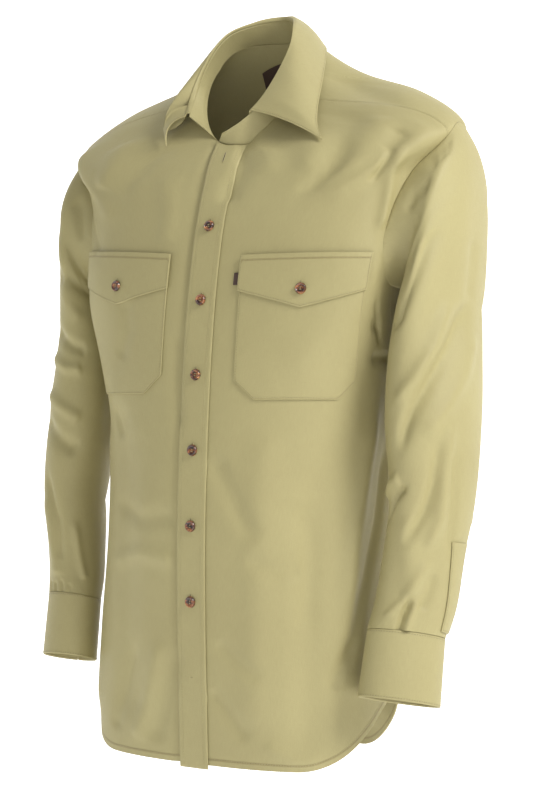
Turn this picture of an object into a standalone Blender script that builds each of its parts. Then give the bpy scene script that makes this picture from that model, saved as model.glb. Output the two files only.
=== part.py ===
"""A long-sleeved cotton work shirt, hollow and filled out as if worn, in metres, +Z up.

The front faces -Y and the wearer's left is +X. The origin is the middle of the neck opening,
level with the tops of the shoulders, where a wearer's neck holds the shirt up.
Every piece of cloth is a thin wall on one of three forms: the torso, a sleeve and the collar.
"""

import math

import bmesh
import bpy
import numpy as np
from mathutils import Vector

# Cloth
WALL = 0.0014
TRIM_WALL = 0.0011
SEAM_GAP = 0.0004

# Torso rings, from the hem to the neckline seam. level is the ring's place on the cloth, 0 to 1.
# front_z, side_z and back_z are its heights. half_width is half its breadth, widest_y is where that
# is, front_y and back_y are its ends, squareness is its superellipse exponent, and lean is its slope
# down towards the wearer's left.
TORSO_COLUMNS = ("level", "front_z", "side_z", "back_z", "half_width", "widest_y", "front_y", "back_y",
                 "squareness", "lean")
TORSO = (
    (0.00, -0.815, -0.815, -0.815, 0.172, -0.046, -0.151, 0.070, 2.6, 0.0),
    (0.10, -0.730, -0.730, -0.730, 0.172, -0.042, -0.155, 0.072, 2.6, 0.0),
    (0.22, -0.630, -0.630, -0.630, 0.169, -0.032, -0.159, 0.074, 2.5, 0.0),
    (0.34, -0.520, -0.520, -0.520, 0.164, -0.022, -0.160, 0.078, 2.4, 0.0),
    (0.46, -0.415, -0.415, -0.415, 0.166, -0.022, -0.155, 0.084, 2.4, 0.0),
    (0.56, -0.325, -0.325, -0.325, 0.177, -0.038, -0.147, 0.087, 2.5, 0.0),
    (0.65, -0.255, -0.250, -0.250, 0.188, -0.058, -0.137, 0.090, 2.6, 0.0),
    (0.73, -0.202, -0.188, -0.190, 0.199, -0.040, -0.126, 0.096, 2.6, 0.0),
    (0.80, -0.165, -0.125, -0.140, 0.217, -0.015, -0.115, 0.100, 2.5, 0.0),
    (0.86, -0.138, -0.074, -0.096, 0.240, -0.003, -0.105, 0.100, 2.4, 0.009),
    (0.91, -0.121, -0.036, -0.046, 0.184, -0.002, -0.098, 0.094, 2.3, 0.014),
    (0.955, -0.107, -0.013, -0.002, 0.113, 0.012, -0.090, 0.078, 2.15, 0.045),
    (1.00, -0.093, 0.006, 0.044, 0.0645, 0.002, -0.079, 0.056, 2.0, 0.080),
)

# Hem: its height at the centre front, centre back and its highest, and the angles where it starts to
# rise, is highest and is level again
HEM_FRONT_Z = -0.764
HEM_BACK_Z = -0.772
HEM_SIDE_Z = -0.692
HEM_ANGLES = (38.0, 106.0, 152.0)

# Armhole on the torso's form: its middle and half height in level, and half width in degrees
ARMHOLE_MIDDLE = 0.7525
ARMHOLE_HALF_HEIGHT = 0.1075
ARMHOLE_FRONT_WIDTH = 25.0
ARMHOLE_BACK_WIDTH = 30.0
YOKE_FRONT_TURN = 32.0
YOKE_BACK_TURN = 306.0

# Yoke seams on the torso's form
YOKE_NECK_ANGLE = 62.0
YOKE_BACK_LEVEL = 0.85

# Front edges and placket
OVERLAP = 0.0175
PLACKET_WIDTH = 0.035
UNDERLAP_EDGE = 0.0195

# Grid steps
NECK_STEPS = 3
SHOULDER_STEPS = 5
SIDE_STEPS = 16
ARMHOLE_STEPS = 9
CAP_STEPS = 4
BACK_STEPS = 18
SLEEVE_STEPS = 19

# Sleeve rings below the armhole, on the wearer's left. outer and inner are the ring's outermost and
# innermost points, depth is half its size from front to back, lift is how far its front is raised, and
# right_depth is the depth of the right sleeve, which hangs less full.
SLEEVE_COLUMNS = ("share", "outer_x", "outer_y", "outer_z", "inner_x", "inner_y", "inner_z", "depth", "lift",
                  "right_depth")
SLEEVE = (
    (0.06, 0.2530, 0.000, -0.102, 0.1968, -0.002, -0.262, 0.076, 0.000, 0.073),
    (0.13, 0.2600, -0.003, -0.144, 0.1950, -0.009, -0.272, 0.080, 0.000, 0.071),
    (0.22, 0.2610, -0.006, -0.200, 0.1910, -0.018, -0.288, 0.083, 0.000, 0.068),
    (0.36, 0.2600, -0.011, -0.285, 0.1865, -0.032, -0.325, 0.080, 0.000, 0.063),
    (0.53, 0.2685, -0.024, -0.385, 0.1850, -0.050, -0.395, 0.068, 0.003, 0.057),
    (0.70, 0.2690, -0.040, -0.485, 0.1930, -0.063, -0.485, 0.051, 0.005, 0.049),
    (0.80, 0.2620, -0.047, -0.535, 0.1880, -0.071, -0.535, 0.042, 0.007, 0.044),
    (0.90, 0.2560, -0.054, -0.585, 0.1820, -0.079, -0.582, 0.038, 0.009, 0.039),
    (1.00, 0.2500, -0.066, -0.618, 0.1770, -0.090, -0.613, 0.0345, 0.009, 0.0345),
)

# How far each cuff hangs below the table's, as the arms are not quite alike
ARM_DROP = {"left": 0.004, "right": -0.011}

# Cuff: its lower ring in the sleeve's columns, and its opening
CUFF_LOW = (1.10, 0.2500, -0.078, -0.688, 0.1730, -0.104, -0.681, 0.0345, 0.009, 0.0345)
CUFF_OPENING_TURN = -82.0
CUFF_OVERLAP_TURN = 26.0
CUFF_CORNER = 0.010

# Collar stations, from the wearer's left front round the back to the right front. angle is the place on
# the neckline seam in degrees, top is the stand's upper edge.
STAND_COLUMNS = ("angle", "top_x", "top_y", "top_z")
STAND = (
    (-15.0, -0.0080, -0.0840, -0.0805),
    (20.0, 0.0230, -0.0790, -0.0615),
    (50.0, 0.0400, -0.0655, -0.0380),
    (75.0, 0.0510, -0.0450, -0.0010),
    (95.0, 0.0510, -0.0280, 0.0230),
    (120.0, 0.0415, -0.0060, 0.0450),
    (150.0, 0.0235, 0.0230, 0.0600),
    (180.0, 0.0000, 0.0400, 0.0670),
    (210.0, -0.0280, 0.0270, 0.0630),
    (240.0, -0.0480, -0.0020, 0.0480),
    (265.0, -0.0560, -0.0240, 0.0250),
    (285.0, -0.0600, -0.0400, 0.0000),
    (310.0, -0.0610, -0.0580, -0.0340),
    (342.0, -0.0550, -0.0785, -0.0570),
)

# Fall stations, from the left point to the right: edge is its lower edge, bulge is how far its middle
# stands out from the straight line between fold and edge.
FALL_COLUMNS = ("angle", "edge_x", "edge_y", "edge_z", "bulge")
FALL = (
    (22.0, 0.1185, -0.0870, -0.0960, 0.004),
    (50.0, 0.1070, -0.0760, -0.0760, 0.006),
    (75.0, 0.0975, -0.0550, -0.0500, 0.007),
    (95.0, 0.0850, -0.0205, -0.0161, 0.008),
    (120.0, 0.0655, 0.0245, 0.0224, 0.006),
    (150.0, 0.0405, 0.0600, 0.0344, 0.006),
    (180.0, 0.0000, 0.0730, 0.0330, 0.008),
    (210.0, -0.0440, 0.0620, 0.0334, 0.009),
    (240.0, -0.0770, 0.0260, 0.0264, 0.009),
    (265.0, -0.0930, -0.0220, -0.0176, 0.009),
    (285.0, -0.0970, -0.0530, -0.0450, 0.009),
    (310.0, -0.0935, -0.0720, -0.0655, 0.009),
    (338.0, -0.0820, -0.0850, -0.0885, 0.010),
)

# Creases of the torso: both ends as degrees round the body and height, the crease's half width, and its
# height, which is negative for a trough.
TORSO_CREASE_COLUMNS = ("angle_1", "z_1", "angle_2", "z_2", "half_width", "height")
TORSO_CREASES = (
    (64.0, -0.090, 40.0, -0.150, 0.012, 0.0030),
    (52.0, -0.075, 34.0, -0.125, 0.010, -0.0020),
    (66.0, -0.240, 40.0, -0.330, 0.022, 0.0020),
    (70.0, -0.420, 62.0, -0.660, 0.022, 0.0045),
    (48.0, -0.470, 42.0, -0.720, 0.020, -0.0040),
    (28.0, -0.430, 24.0, -0.700, 0.018, 0.0030),
    (-64.0, -0.090, -42.0, -0.160, 0.012, 0.0035),
    (-70.0, -0.130, -50.0, -0.200, 0.010, -0.0025),
    (-64.0, -0.270, -34.0, -0.400, 0.024, 0.0025),
    (-38.0, -0.400, -30.0, -0.700, 0.022, -0.0045),
    (-62.0, -0.430, -58.0, -0.700, 0.024, 0.0045),
    (112.0, -0.230, 128.0, -0.520, 0.024, 0.0060),
    (132.0, -0.300, 142.0, -0.720, 0.024, -0.0060),
    (158.0, -0.420, 154.0, -0.760, 0.024, 0.0050),
    (178.0, -0.500, 182.0, -0.770, 0.026, -0.0040),
    (204.0, -0.400, 208.0, -0.760, 0.024, 0.0050),
    (226.0, -0.330, 220.0, -0.700, 0.024, -0.0060),
    (248.0, -0.230, 234.0, -0.540, 0.024, 0.0060),
)
AROUND = 0.170

# Creases of a sleeve: both ends as degrees round the sleeve and share of its length, then as above
SLEEVE_CREASE_COLUMNS = ("turn_1", "share_1", "turn_2", "share_2", "half_width", "height")
SLEEVE_CREASES = (
    (58.0, 0.10, 104.0, 0.26, 0.014, -0.0050),
    (30.0, 0.22, 62.0, 0.52, 0.016, 0.0050),
    (78.0, 0.26, 96.0, 0.50, 0.013, -0.0050),
    (40.0, 0.46, 84.0, 0.66, 0.014, -0.0060),
    (20.0, 0.60, 100.0, 0.74, 0.012, 0.0050),
    (48.0, 0.76, 118.0, 0.70, 0.009, -0.0060),
    (60.0, 0.80, 20.0, 0.96, 0.012, 0.0040),
    (-30.0, 0.20, -58.0, 0.56, 0.018, 0.0055),
    (-80.0, 0.24, -66.0, 0.60, 0.016, -0.0060),
    (-40.0, 0.62, -110.0, 0.74, 0.014, -0.0060),
    (-70.0, 0.76, -30.0, 0.94, 0.012, 0.0045),
    (-120.0, 0.78, -96.0, 0.96, 0.011, -0.0040),
)
SLEEVE_AROUND = 0.055
SLEEVE_LONG = 0.600

# Pieces lying on a front
POCKET_INNER_X = 0.046
POCKET_OUTER_ANGLE = 62.0
POCKET_TOP_Z = -0.232
POCKET_LOW_Z = -0.3745
POCKET_CORNER = 0.020
POCKET_RADIUS = 0.150
POCKET_COLUMNS = 8
FLAP_TOP_Z = -0.221
FLAP_CORNER_Z = -0.259
FLAP_POINT = 0.019
FLAP_OVERHANG = 0.0012
FLAP_POINT_SHARE = 0.455
LIFT_ON_FRONT = 0.0014

# The right front rides up a little, with its pocket and flap: by this much at the pocket's lower edge, and
# by this slope more towards the side at the flap's top
RIGHT_RISE = 0.0065
RIGHT_TILT = 0.120
TAB_SIZE = (0.0070, 0.0125)
TAB_Z = -0.246

# Sleeve placket strip, in degrees round the sleeve and share of its length, and how far round it slants
# from its lower end to its upper one
STRIP_TURNS = (-25.0, 13.0)
STRIP_SHARES = (0.775, 0.985)
STRIP_SLANT = 12.0
STRIP_LIFT = 0.0015

# Label inside the back of the yoke: its half width, its height, where its middle is, and how much lower
# its ends are
LABEL_HALF_WIDTH = 0.043
LABEL_HEIGHT = 0.021
LABEL_Z = 0.0150
LABEL_END_DROP = 0.010
LABEL_LIFT = 0.0010

# Collar and cuff details
NECK_MIDDLE = np.array([0.0, 0.0, -0.010])
ROLL = 0.0040
ROLL_SECTION = ((0.10, -0.35), (0.80, -0.25), (1.25, 0.35), (0.95, 1.20))
STAND_ROWS = 2
FALL_COLUMNS_COUNT = 28
FALL_ROWS = 3
CUFF_RADIUS = 0.045
CUFF_STEPS = 24

# Buttons
BUTTON_PROFILE = ((0.0, 0.0), (0.0052, 0.0), (0.0062, 0.0010), (0.0059, 0.0027), (0.0043, 0.0019),
                  (0.0, 0.0019))
BUTTON_SIDES = 12
BUTTON_LIFT = 0.0004
FRONT_BUTTONS = 6
FIRST_BUTTON_Z = -0.187
BUTTON_SPACING = 0.0806
FLAP_BUTTON_Z = -0.2585
FLAP_BUTTON_SHARE = 0.445
CUFF_BUTTON_TURN = -68.0

# Colours, as linear red, green and blue
CLOTH_COLOUR = (0.42, 0.35, 0.17, 1.0)
DARK_TRIM_COLOUR = (0.055, 0.026, 0.018, 1.0)
BUTTON_COLOUR = (0.20, 0.075, 0.025, 1.0)


def through(knots, rows, at):
    """The smooth curve through a table's rows: cubic Hermite pieces whose slope at each row is the
    weighted mean of the slopes on its two sides."""
    knots = np.asarray(knots, float)
    rows = np.asarray(rows, float)
    at = np.clip(np.asarray(at, float), knots[0], knots[-1])
    wide = (-1,) + (1,) * (rows.ndim - 1)
    step = np.diff(knots)
    rise = np.diff(rows, axis=0) / step.reshape(wide)
    before, after = step[:-1].reshape(wide), step[1:].reshape(wide)
    slope = np.empty_like(rows)
    slope[0], slope[-1] = rise[0], rise[-1]
    slope[1:-1] = (rise[:-1] * after + rise[1:] * before) / (before + after)
    k = np.clip(np.searchsorted(knots, at, side="right") - 1, 0, len(step) - 1)
    shape = at.shape + (1,) * (rows.ndim - 1)
    h = step[k].reshape(shape)
    t = ((at - knots[k]) / step[k]).reshape(shape)
    return ((2 * t**3 - 3 * t**2 + 1) * rows[k] + (t**3 - 2 * t**2 + t) * h * slope[k]
            + (3 * t**2 - 2 * t**3) * rows[k + 1] + (t**3 - t**2) * h * slope[k + 1])


def smooth(t):
    """0 below 0, 1 above 1 and a soft S between."""
    t = np.clip(t, 0.0, 1.0)
    return t * t * (3 - 2 * t)


TORSO_ROWS = np.array(TORSO)


def torso(angle, level):
    """A point of the torso's form. Each ring is a superellipse about its widest line, and its height
    changes round it as a quadratic in the cosine of the angle, through front, side and back."""
    angle, level = np.broadcast_arrays(np.asarray(angle, float), np.asarray(level, float))
    row = np.moveaxis(through(TORSO_ROWS[:, 0], TORSO_ROWS[:, 1:], level), -1, 0)
    front_z, side_z, back_z, half_width, widest_y, front_y, back_y, squareness, lean = row
    c, s = np.cos(angle), np.sin(angle)
    r = (np.abs(c) ** squareness + np.abs(s) ** squareness) ** (-1 / squareness)
    x = half_width * r * s
    y = widest_y + np.where(c > 0, front_y - widest_y, widest_y - back_y) * r * c
    z = side_z + (front_z - back_z) / 2 * c + ((front_z + back_z) / 2 - side_z) * c * c - lean * x
    return np.stack([x, y, z], -1)


def level_at(angle, z):
    """The level where the torso's form has this height, found by halving."""
    angle, z = np.broadcast_arrays(np.asarray(angle, float), np.asarray(z, float))
    low, high = np.zeros(z.shape), np.ones(z.shape)
    for _ in range(26):
        middle = (low + high) / 2
        under = torso(angle, middle)[..., 2] < z
        low, high = np.where(under, middle, low), np.where(under, high, middle)
    return (low + high) / 2


def angle_at(x, level):
    """The angle near the centre front where the torso's form has this x."""
    x, level = np.broadcast_arrays(np.asarray(x, float), np.asarray(level, float))
    row = through(TORSO_ROWS[:, 0], TORSO_ROWS[:, 1:], level)
    share = (np.abs(x) / row[..., 3]) ** row[..., 7]
    return np.sign(x) * np.arctan((share / (1 - share)) ** (1 / row[..., 7]))


def crease_relief(creases, across, along, across_size, along_size, wrap):
    """How far creases move a surface out: for each, height times exp(-(distance / half width)^2), with
    the distance to the straight line between its ends, on the cloth laid flat."""
    total = np.zeros(np.broadcast(across, along).shape)
    for a1, b1, a2, b2, half_width, height in creases:
        dx = (across - a1 + wrap / 2) % wrap - wrap / 2
        dx, dy = dx * across_size, (along - b1) * along_size
        ex, ey = (a2 - a1) * across_size, (b2 - b1) * along_size
        t = np.clip((dx * ex + dy * ey) / (ex * ex + ey * ey), 0.0, 1.0)
        away = np.hypot(dx - t * ex, dy - t * ey)
        total = total + height * np.exp(-(away / half_width) ** 2)
    return total


def form_normal(form, across, along, step=2e-3):
    """The outward normal of a form, from its slopes either way. Across runs anticlockwise seen from
    above and along runs up the torso, so their cross product points out."""
    low, high = np.clip(along - step, 0, 1), np.clip(along + step, 0, 1)
    around = form(across + step, along) - form(across - step, along)
    out = np.cross(around, form(across, high) - form(across, low))
    return out / np.maximum(np.linalg.norm(out, axis=-1, keepdims=True), 1e-12)


def draped_torso(angle, level):
    """The torso's form with its creases, which fade out at the neckline."""
    form = torso(angle, level)
    relief = crease_relief(TORSO_CREASES, np.degrees(angle), form[..., 2],
                           math.radians(1) * AROUND, 1.0, 360.0)
    return form + form_normal(torso, angle, level) * relief[..., None]


def on_torso(angle, level, height=0.0):
    """A point this far out from the draped torso, and the outward normal there."""
    angle, level = np.broadcast_arrays(np.asarray(angle, float), np.asarray(level, float))
    out = form_normal(draped_torso, angle, level)
    return draped_torso(angle, level) + out * np.asarray(height)[..., None], out


def hem_level(angle):
    """The hem's level: low at the front and back, and rising to the side seams in a soft S."""
    turned = np.abs((np.degrees(angle) + 180) % 360 - 180)
    start, top, end = HEM_ANGLES
    rise = np.where(turned < top, (turned - start) / (top - start), (end - turned) / (end - top))
    low = np.where(turned < top, HEM_FRONT_Z, HEM_BACK_Z)
    return level_at(angle, low + (HEM_SIDE_Z - low) * smooth(rise))


def armhole(turn):
    """The armhole's curve on the torso: turn is 0 at the shoulder, 90 in front and 180 under the arm."""
    t = np.radians(turn)
    width = np.where(np.sin(t) > 0, ARMHOLE_FRONT_WIDTH, ARMHOLE_BACK_WIDTH)
    angle = np.radians(90 - width * np.sin(t))
    return np.stack([angle, ARMHOLE_MIDDLE + ARMHOLE_HALF_HEIGHT * np.cos(t)], -1)


def line(start, end, steps):
    """Evenly spaced points from start to end."""
    return np.asarray(start) + (np.asarray(end) - np.asarray(start)) * np.linspace(0, 1, steps + 1)[:, None]


def join(*edges):
    """Edges that meet end to end, as one."""
    return np.concatenate([edge[:-1] for edge in edges[:-1]] + [edges[-1]])


def patch(bottom, top, left, right):
    """The grid between four edges: the two ruled surfaces less the one through the corners (Coons)."""
    u = np.linspace(0, 1, len(bottom))[:, None, None]
    v = np.linspace(0, 1, len(left))[None, :, None]
    ruled = (1 - v) * bottom[:, None] + v * top[:, None] + (1 - u) * left[None] + u * right[None]
    corners = ((1 - u) * (1 - v) * bottom[0] + u * (1 - v) * bottom[-1]
               + (1 - u) * v * top[0] + u * v * top[-1])
    return ruled - corners


def mirrored(edge):
    """An edge of the torso seen in a mirror through its middle plane."""
    return np.stack([2 * math.pi - edge[:, 0], edge[:, 1]], -1)


def side_edge(turn_end):
    """The side seam from the hem to under the arm, then the armhole as far as turn_end."""
    quarter = math.pi / 2
    low = [quarter, float(hem_level(np.array(quarter)))]
    seam = line(low, armhole(180.0), SIDE_STEPS)
    return join(seam, armhole(np.linspace(180.0, turn_end, ARMHOLE_STEPS + 1)))


def front_yoke_seam():
    """From the neckline to the armhole, over the front of the shoulder."""
    return line([math.radians(YOKE_NECK_ANGLE), 1.0], armhole(YOKE_FRONT_TURN), SHOULDER_STEPS)


def back_yoke_seam():
    """Across the back between the armholes, a little higher in the middle."""
    start = armhole(YOKE_BACK_TURN)
    angle = np.linspace(start[0], 2 * math.pi - start[0], BACK_STEPS + 1)
    lift = (YOKE_BACK_LEVEL - start[1]) * np.sin(np.linspace(0, math.pi, BACK_STEPS + 1))
    return np.stack([angle, start[1] + lift], -1)


def front_columns():
    """The fronts' columns over the placket, from the free edge to just past it."""
    return np.array([-OVERLAP, 0.0, UNDERLAP_EDGE])


def front_plan():
    """A front's grid of angle and level, its free edge first, for the wearer's left."""
    rows = SIDE_STEPS + ARMHOLE_STEPS
    x = front_columns()
    edge_angle = np.arctan(x / TORSO_ROWS[0, 4])
    edges = []
    for k in range(len(x)):
        level = np.linspace(float(hem_level(edge_angle[k])), 1.0, rows + 1)
        edges.append(np.stack([angle_at(x[k], level), level], -1))
    neck = line(edges[-1][-1], [math.radians(YOKE_NECK_ANGLE), 1.0], NECK_STEPS)
    hem_angle = np.linspace(edges[-1][0, 0], math.pi / 2, NECK_STEPS + SHOULDER_STEPS + 1)
    hem = np.stack([hem_angle, hem_level(hem_angle)], -1)
    body = patch(hem, join(neck, front_yoke_seam()), edges[-1], side_edge(YOKE_FRONT_TURN))
    return np.concatenate([np.stack(edges[:-1]), body])


def back_plan():
    """The back's grid of angle and level, from the wearer's left side seam to the right one."""
    left = side_edge(YOKE_BACK_TURN)
    hem_angle = np.linspace(math.pi / 2, 3 * math.pi / 2, BACK_STEPS + 1)
    hem = np.stack([hem_angle, hem_level(hem_angle)], -1)
    return patch(hem, back_yoke_seam(), left, mirrored(left))


def yoke_plan():
    """The yoke's grid, from the left front seam round the back to the right one, neckline first."""
    cap = armhole(np.linspace(YOKE_FRONT_TURN, YOKE_BACK_TURN - 360, CAP_STEPS + 1))
    outer = join(cap, back_yoke_seam(), mirrored(cap)[::-1])
    start = math.radians(YOKE_NECK_ANGLE)
    neck = line([start, 1.0], [2 * math.pi - start, 1.0], len(outer) - 1)
    seam = front_yoke_seam()
    return patch(neck, outer, seam, mirrored(seam))


def sleeve_ring(row, turn, side=1):
    """A ring of a sleeve's table: an ellipse from its outer, front, inner and back points."""
    t = np.radians(turn)[:, None]
    outer, inner = np.array(row[1:4]), np.array(row[4:7])
    front = np.array([0.0, -row[7] if side > 0 else -row[9], row[8]])
    return (outer + inner) / 2 + np.cos(t) * (outer - inner) / 2 + np.sin(t) * front


def ring_turns():
    """The sleeve's columns, the same as the armhole points of the front, the back and the yoke."""
    front = np.linspace(YOKE_FRONT_TURN, 180.0, ARMHOLE_STEPS + 1)
    back = np.linspace(180.0, YOKE_BACK_TURN, ARMHOLE_STEPS + 1)
    cap = np.linspace(YOKE_BACK_TURN, YOKE_FRONT_TURN + 360, CAP_STEPS + 1)
    return np.concatenate([front[:-1], back[:-1], cap[:-1]])


def sleeve_form(turns, shares, side):
    """A sleeve's grid of points, turns by shares: its armhole and the table's rings joined lengthwise by
    smooth curves. side is 1 for the left; for the right, -1, everything is seen in a mirror."""
    hole = armhole(turns)
    rows = [draped_torso(side * hole[:, 0], hole[:, 1]) * [side, 1, 1]]
    rows += [sleeve_ring(row, turns, side) for row in SLEEVE]
    knots = [0.0] + [row[0] for row in SLEEVE]
    return np.moveaxis(through(knots, np.array(rows), shares), 0, 1)


def grid_normals(points, closed, inside):
    """Outward normals of a grid of points from its neighbours, turned away from the inside points."""
    if closed:
        across = np.roll(points, -1, 0) - np.roll(points, 1, 0)
    else:
        across = np.gradient(points, axis=0)
    out = np.cross(across, np.gradient(points, axis=1))
    out /= np.maximum(np.linalg.norm(out, axis=-1, keepdims=True), 1e-12)
    return out if ((points - inside) * out).sum() > 0 else -out


def draped_sleeve(turns, shares, side):
    """A sleeve, the right one in a mirror, with its creases, which fade at the armhole and the cuff, and
    its normals, which at the armhole are midway between its own and the torso's."""
    points = sleeve_form(turns, shares, side)
    normals = grid_normals(points, True, points.mean(0, keepdims=True))
    relief = crease_relief(SLEEVE_CREASES, turns[:, None], shares[None, :],
                           math.radians(1) * SLEEVE_AROUND, SLEEVE_LONG, 360.0)
    relief = relief * smooth(shares / 0.08) * smooth((1 - shares) / 0.04)
    points = points + normals * relief[..., None]
    hole = armhole(turns)
    seam = (form_normal(draped_torso, side * hole[:, 0], hole[:, 1]) * [side, 1, 1])[:, None]
    share = 0.5 * smooth(1 - shares / 0.04)[None, :, None]
    normals = normals * (1 - share) + seam * share
    return points, normals / np.linalg.norm(normals, axis=-1, keepdims=True)


def armhole_turned(points, normals, ring, ring_normals):
    """A panel's normals, with those on the armhole taken from the sleeve's first ring."""
    away = np.linalg.norm(points[:, :, None] - ring, axis=-1)
    nearest, on_seam = away.argmin(-1), away.min(-1) < 1e-6
    return np.where(on_seam[..., None], ring_normals[nearest], normals)


def neck_angles():
    """The angles round the neckline where the fronts, the yoke and the collar stand all have a point."""
    edge = angle_at(front_columns(), 1.0)
    start = math.radians(YOKE_NECK_ANGLE)
    front = np.linspace(edge[-1], start, NECK_STEPS + 1)
    back = np.linspace(start, 2 * math.pi - start, 2 * CAP_STEPS + BACK_STEPS + 1)
    return np.concatenate([edge[:-1], front[:-1], back[:-1], 2 * math.pi - front[::-1]])


def stand_top(angles):
    """The collar stand's upper edge, the smooth curve through its table."""
    rows = np.array(STAND)
    return through(np.radians(rows[:, 0]), rows[:, 1:], angles)


def stand_grid(angles, steps):
    """The stand's outer face and normals: straight from the neckline to its upper edge."""
    foot, seam = on_torso(angles, 1.0)
    top = stand_top(angles)
    rise = (top - foot) / np.linalg.norm(top - foot, axis=-1, keepdims=True)
    share = np.linspace(0, 1, steps + 1)[None, :, None]
    points = (foot + rise * SEAM_GAP)[:, None] * (1 - share) + top[:, None] * share
    normals = grid_normals(points, False, NECK_MIDDLE)
    lean = smooth(1 - 2 * share)
    normals = normals * (1 - lean) + seam[:, None] * lean
    return points, normals / np.linalg.norm(normals, axis=-1, keepdims=True)


def fall_grid(angles, steps):
    """The fall's showing face and normals. Each section starts on the stand's upper edge, rolls over by
    ROLL and runs down to the lower edge, standing out from a straight line by its bulge."""
    rows = np.array(FALL)
    row = through(np.radians(rows[:, 0]), rows[:, 1:], angles)
    edge, bulge = row[:, :3], row[:, 3:]
    foot = draped_torso(angles, np.ones(len(angles)))
    top = stand_top(angles)
    up = (top - foot) / np.linalg.norm(top - foot, axis=-1, keepdims=True)
    out = edge - top
    out -= (out * up).sum(-1, keepdims=True) * up
    out /= np.linalg.norm(out, axis=-1, keepdims=True)
    sections = [top + up * (rise * ROLL) + out * (away * ROLL) for rise, away in ROLL_SECTION]
    start = sections[-1]
    down = edge - start
    side = out - (out * down).sum(-1, keepdims=True) * down / (down * down).sum(-1, keepdims=True)
    side /= np.linalg.norm(side, axis=-1, keepdims=True)
    for share in np.linspace(0, 1, steps + 1)[1:]:
        sections.append(start + down * share + side * bulge * (4 * share * (1 - share)))
    points = np.stack(sections, 1)
    inside = (top + out * ROLL)[:, None]
    return points, grid_normals(points, False, inside)


def cuff_grid():
    """The left cuff's outer face and normals: a band between the sleeve's last ring and its own, whose
    ends overlap. The end underneath is drawn in by its wall and a gap, and both lower corners are cut."""
    start, end = CUFF_OPENING_TURN, CUFF_OPENING_TURN + 360 + CUFF_OVERLAP_TURN
    corner = math.degrees(CUFF_CORNER / CUFF_RADIUS)
    inner = np.linspace(start + corner, end - corner, CUFF_STEPS + 1)
    turns = np.concatenate([[start], inner, [end]])
    share = np.linspace(0, 1, 3)[None, :, None]
    top, low = sleeve_ring(SLEEVE[-1], turns), sleeve_ring(CUFF_LOW, turns)
    top[:, 2] -= 1.5 * SEAM_GAP
    cut = np.zeros(len(turns))
    cut[[0, -1]] = CUFF_CORNER
    low[:, 2] += cut
    points = top[:, None] * (1 - share) + low[:, None] * share
    normals = grid_normals(points, False, points[1:-1].mean(0, keepdims=True))
    under = 1 - smooth((turns - start - CUFF_OVERLAP_TURN - 2) / 34.0)
    points = points - normals * (under * (WALL + 3 * SEAM_GAP))[:, None, None]
    return points, normals


def front_depth(columns, side):
    """How far a front's first columns are pressed in: the right front lies under the left one's wall."""
    depth = np.zeros(columns)
    if side < 0:
        depth[:len(front_columns())] = -(WALL + 2 * SEAM_GAP)
    return depth


def pocket_angles(z, share, inset=0.0):
    """Angles across a pocket at this height, share 0 at its inner edge and 1 at its outer one, with
    both edges moved in by inset."""
    level = level_at(math.radians(POCKET_OUTER_ANGLE / 2), z)
    inner = angle_at(POCKET_INNER_X, level) + inset / POCKET_RADIUS
    outer = math.radians(POCKET_OUTER_ANGLE) - inset / POCKET_RADIUS
    return inner + (outer - inner) * share


def on_front(angle, z, side, lift):
    """A grid on a front, this far out from it, with the right front's rise, and its normals."""
    if side < 0:
        top = (z - POCKET_LOW_Z) / (FLAP_TOP_Z - POCKET_LOW_Z)
        z = z + RIGHT_RISE + RIGHT_TILT * top * (POCKET_RADIUS * np.sin(angle) - POCKET_INNER_X)
    return on_torso(side * angle, level_at(angle, z), lift)


def pocket_plan():
    """The pocket's grid of angle and height, with both lower corners cut off."""
    share = np.linspace(0, 1, POCKET_COLUMNS + 1)[:, None]
    rows = np.concatenate([[POCKET_LOW_Z], np.linspace(POCKET_LOW_Z + POCKET_CORNER, POCKET_TOP_Z, 6)])
    z = np.broadcast_to(rows, (len(share), len(rows)))
    inset = np.where(z == POCKET_LOW_Z, POCKET_CORNER, 0.0)
    return pocket_angles(z, share, inset), z


def flap_plan():
    """The flap's grid: a level top and a lower edge that falls to a point near its middle."""
    share = np.sort(np.append(np.linspace(0, 1, POCKET_COLUMNS), FLAP_POINT_SHARE))[:, None]
    fall = np.minimum(share / FLAP_POINT_SHARE, (1 - share) / (1 - FLAP_POINT_SHARE))
    low = FLAP_CORNER_Z - FLAP_POINT * fall
    z = low + (FLAP_TOP_Z - low) * np.linspace(0, 1, 5)
    return pocket_angles(z, share, -FLAP_OVERHANG), z


def pulled_in(points, closed):
    """The grid with each free edge moved in by half the gap of a seam."""
    moved = points.copy()
    ends = [(1, 0, 1), (1, -1, -2)] + ([] if closed else [(0, 0, 1), (0, -1, -2)])
    for axis, edge, inner in ends:
        here = points.take(edge, axis)
        step = points.take(inner, axis) - here
        step *= SEAM_GAP / 2 / np.maximum(np.linalg.norm(step, axis=-1, keepdims=True), 1e-9)
        index = [slice(None)] * 3
        index[axis] = edge
        moved[tuple(index)] += step
    return moved


def grid_quads(columns, rows, closed, first):
    """The corner numbers of a grid's faces, for points numbered column by column from first."""
    i = np.arange(columns if closed else columns - 1)[:, None]
    j = np.arange(rows - 1)[None, :]
    near, far = first + i * rows + j, first + (i + 1) % columns * rows + j
    return np.stack([near, far, far + 1, near + 1], -1).reshape(-1, 4)


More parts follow.
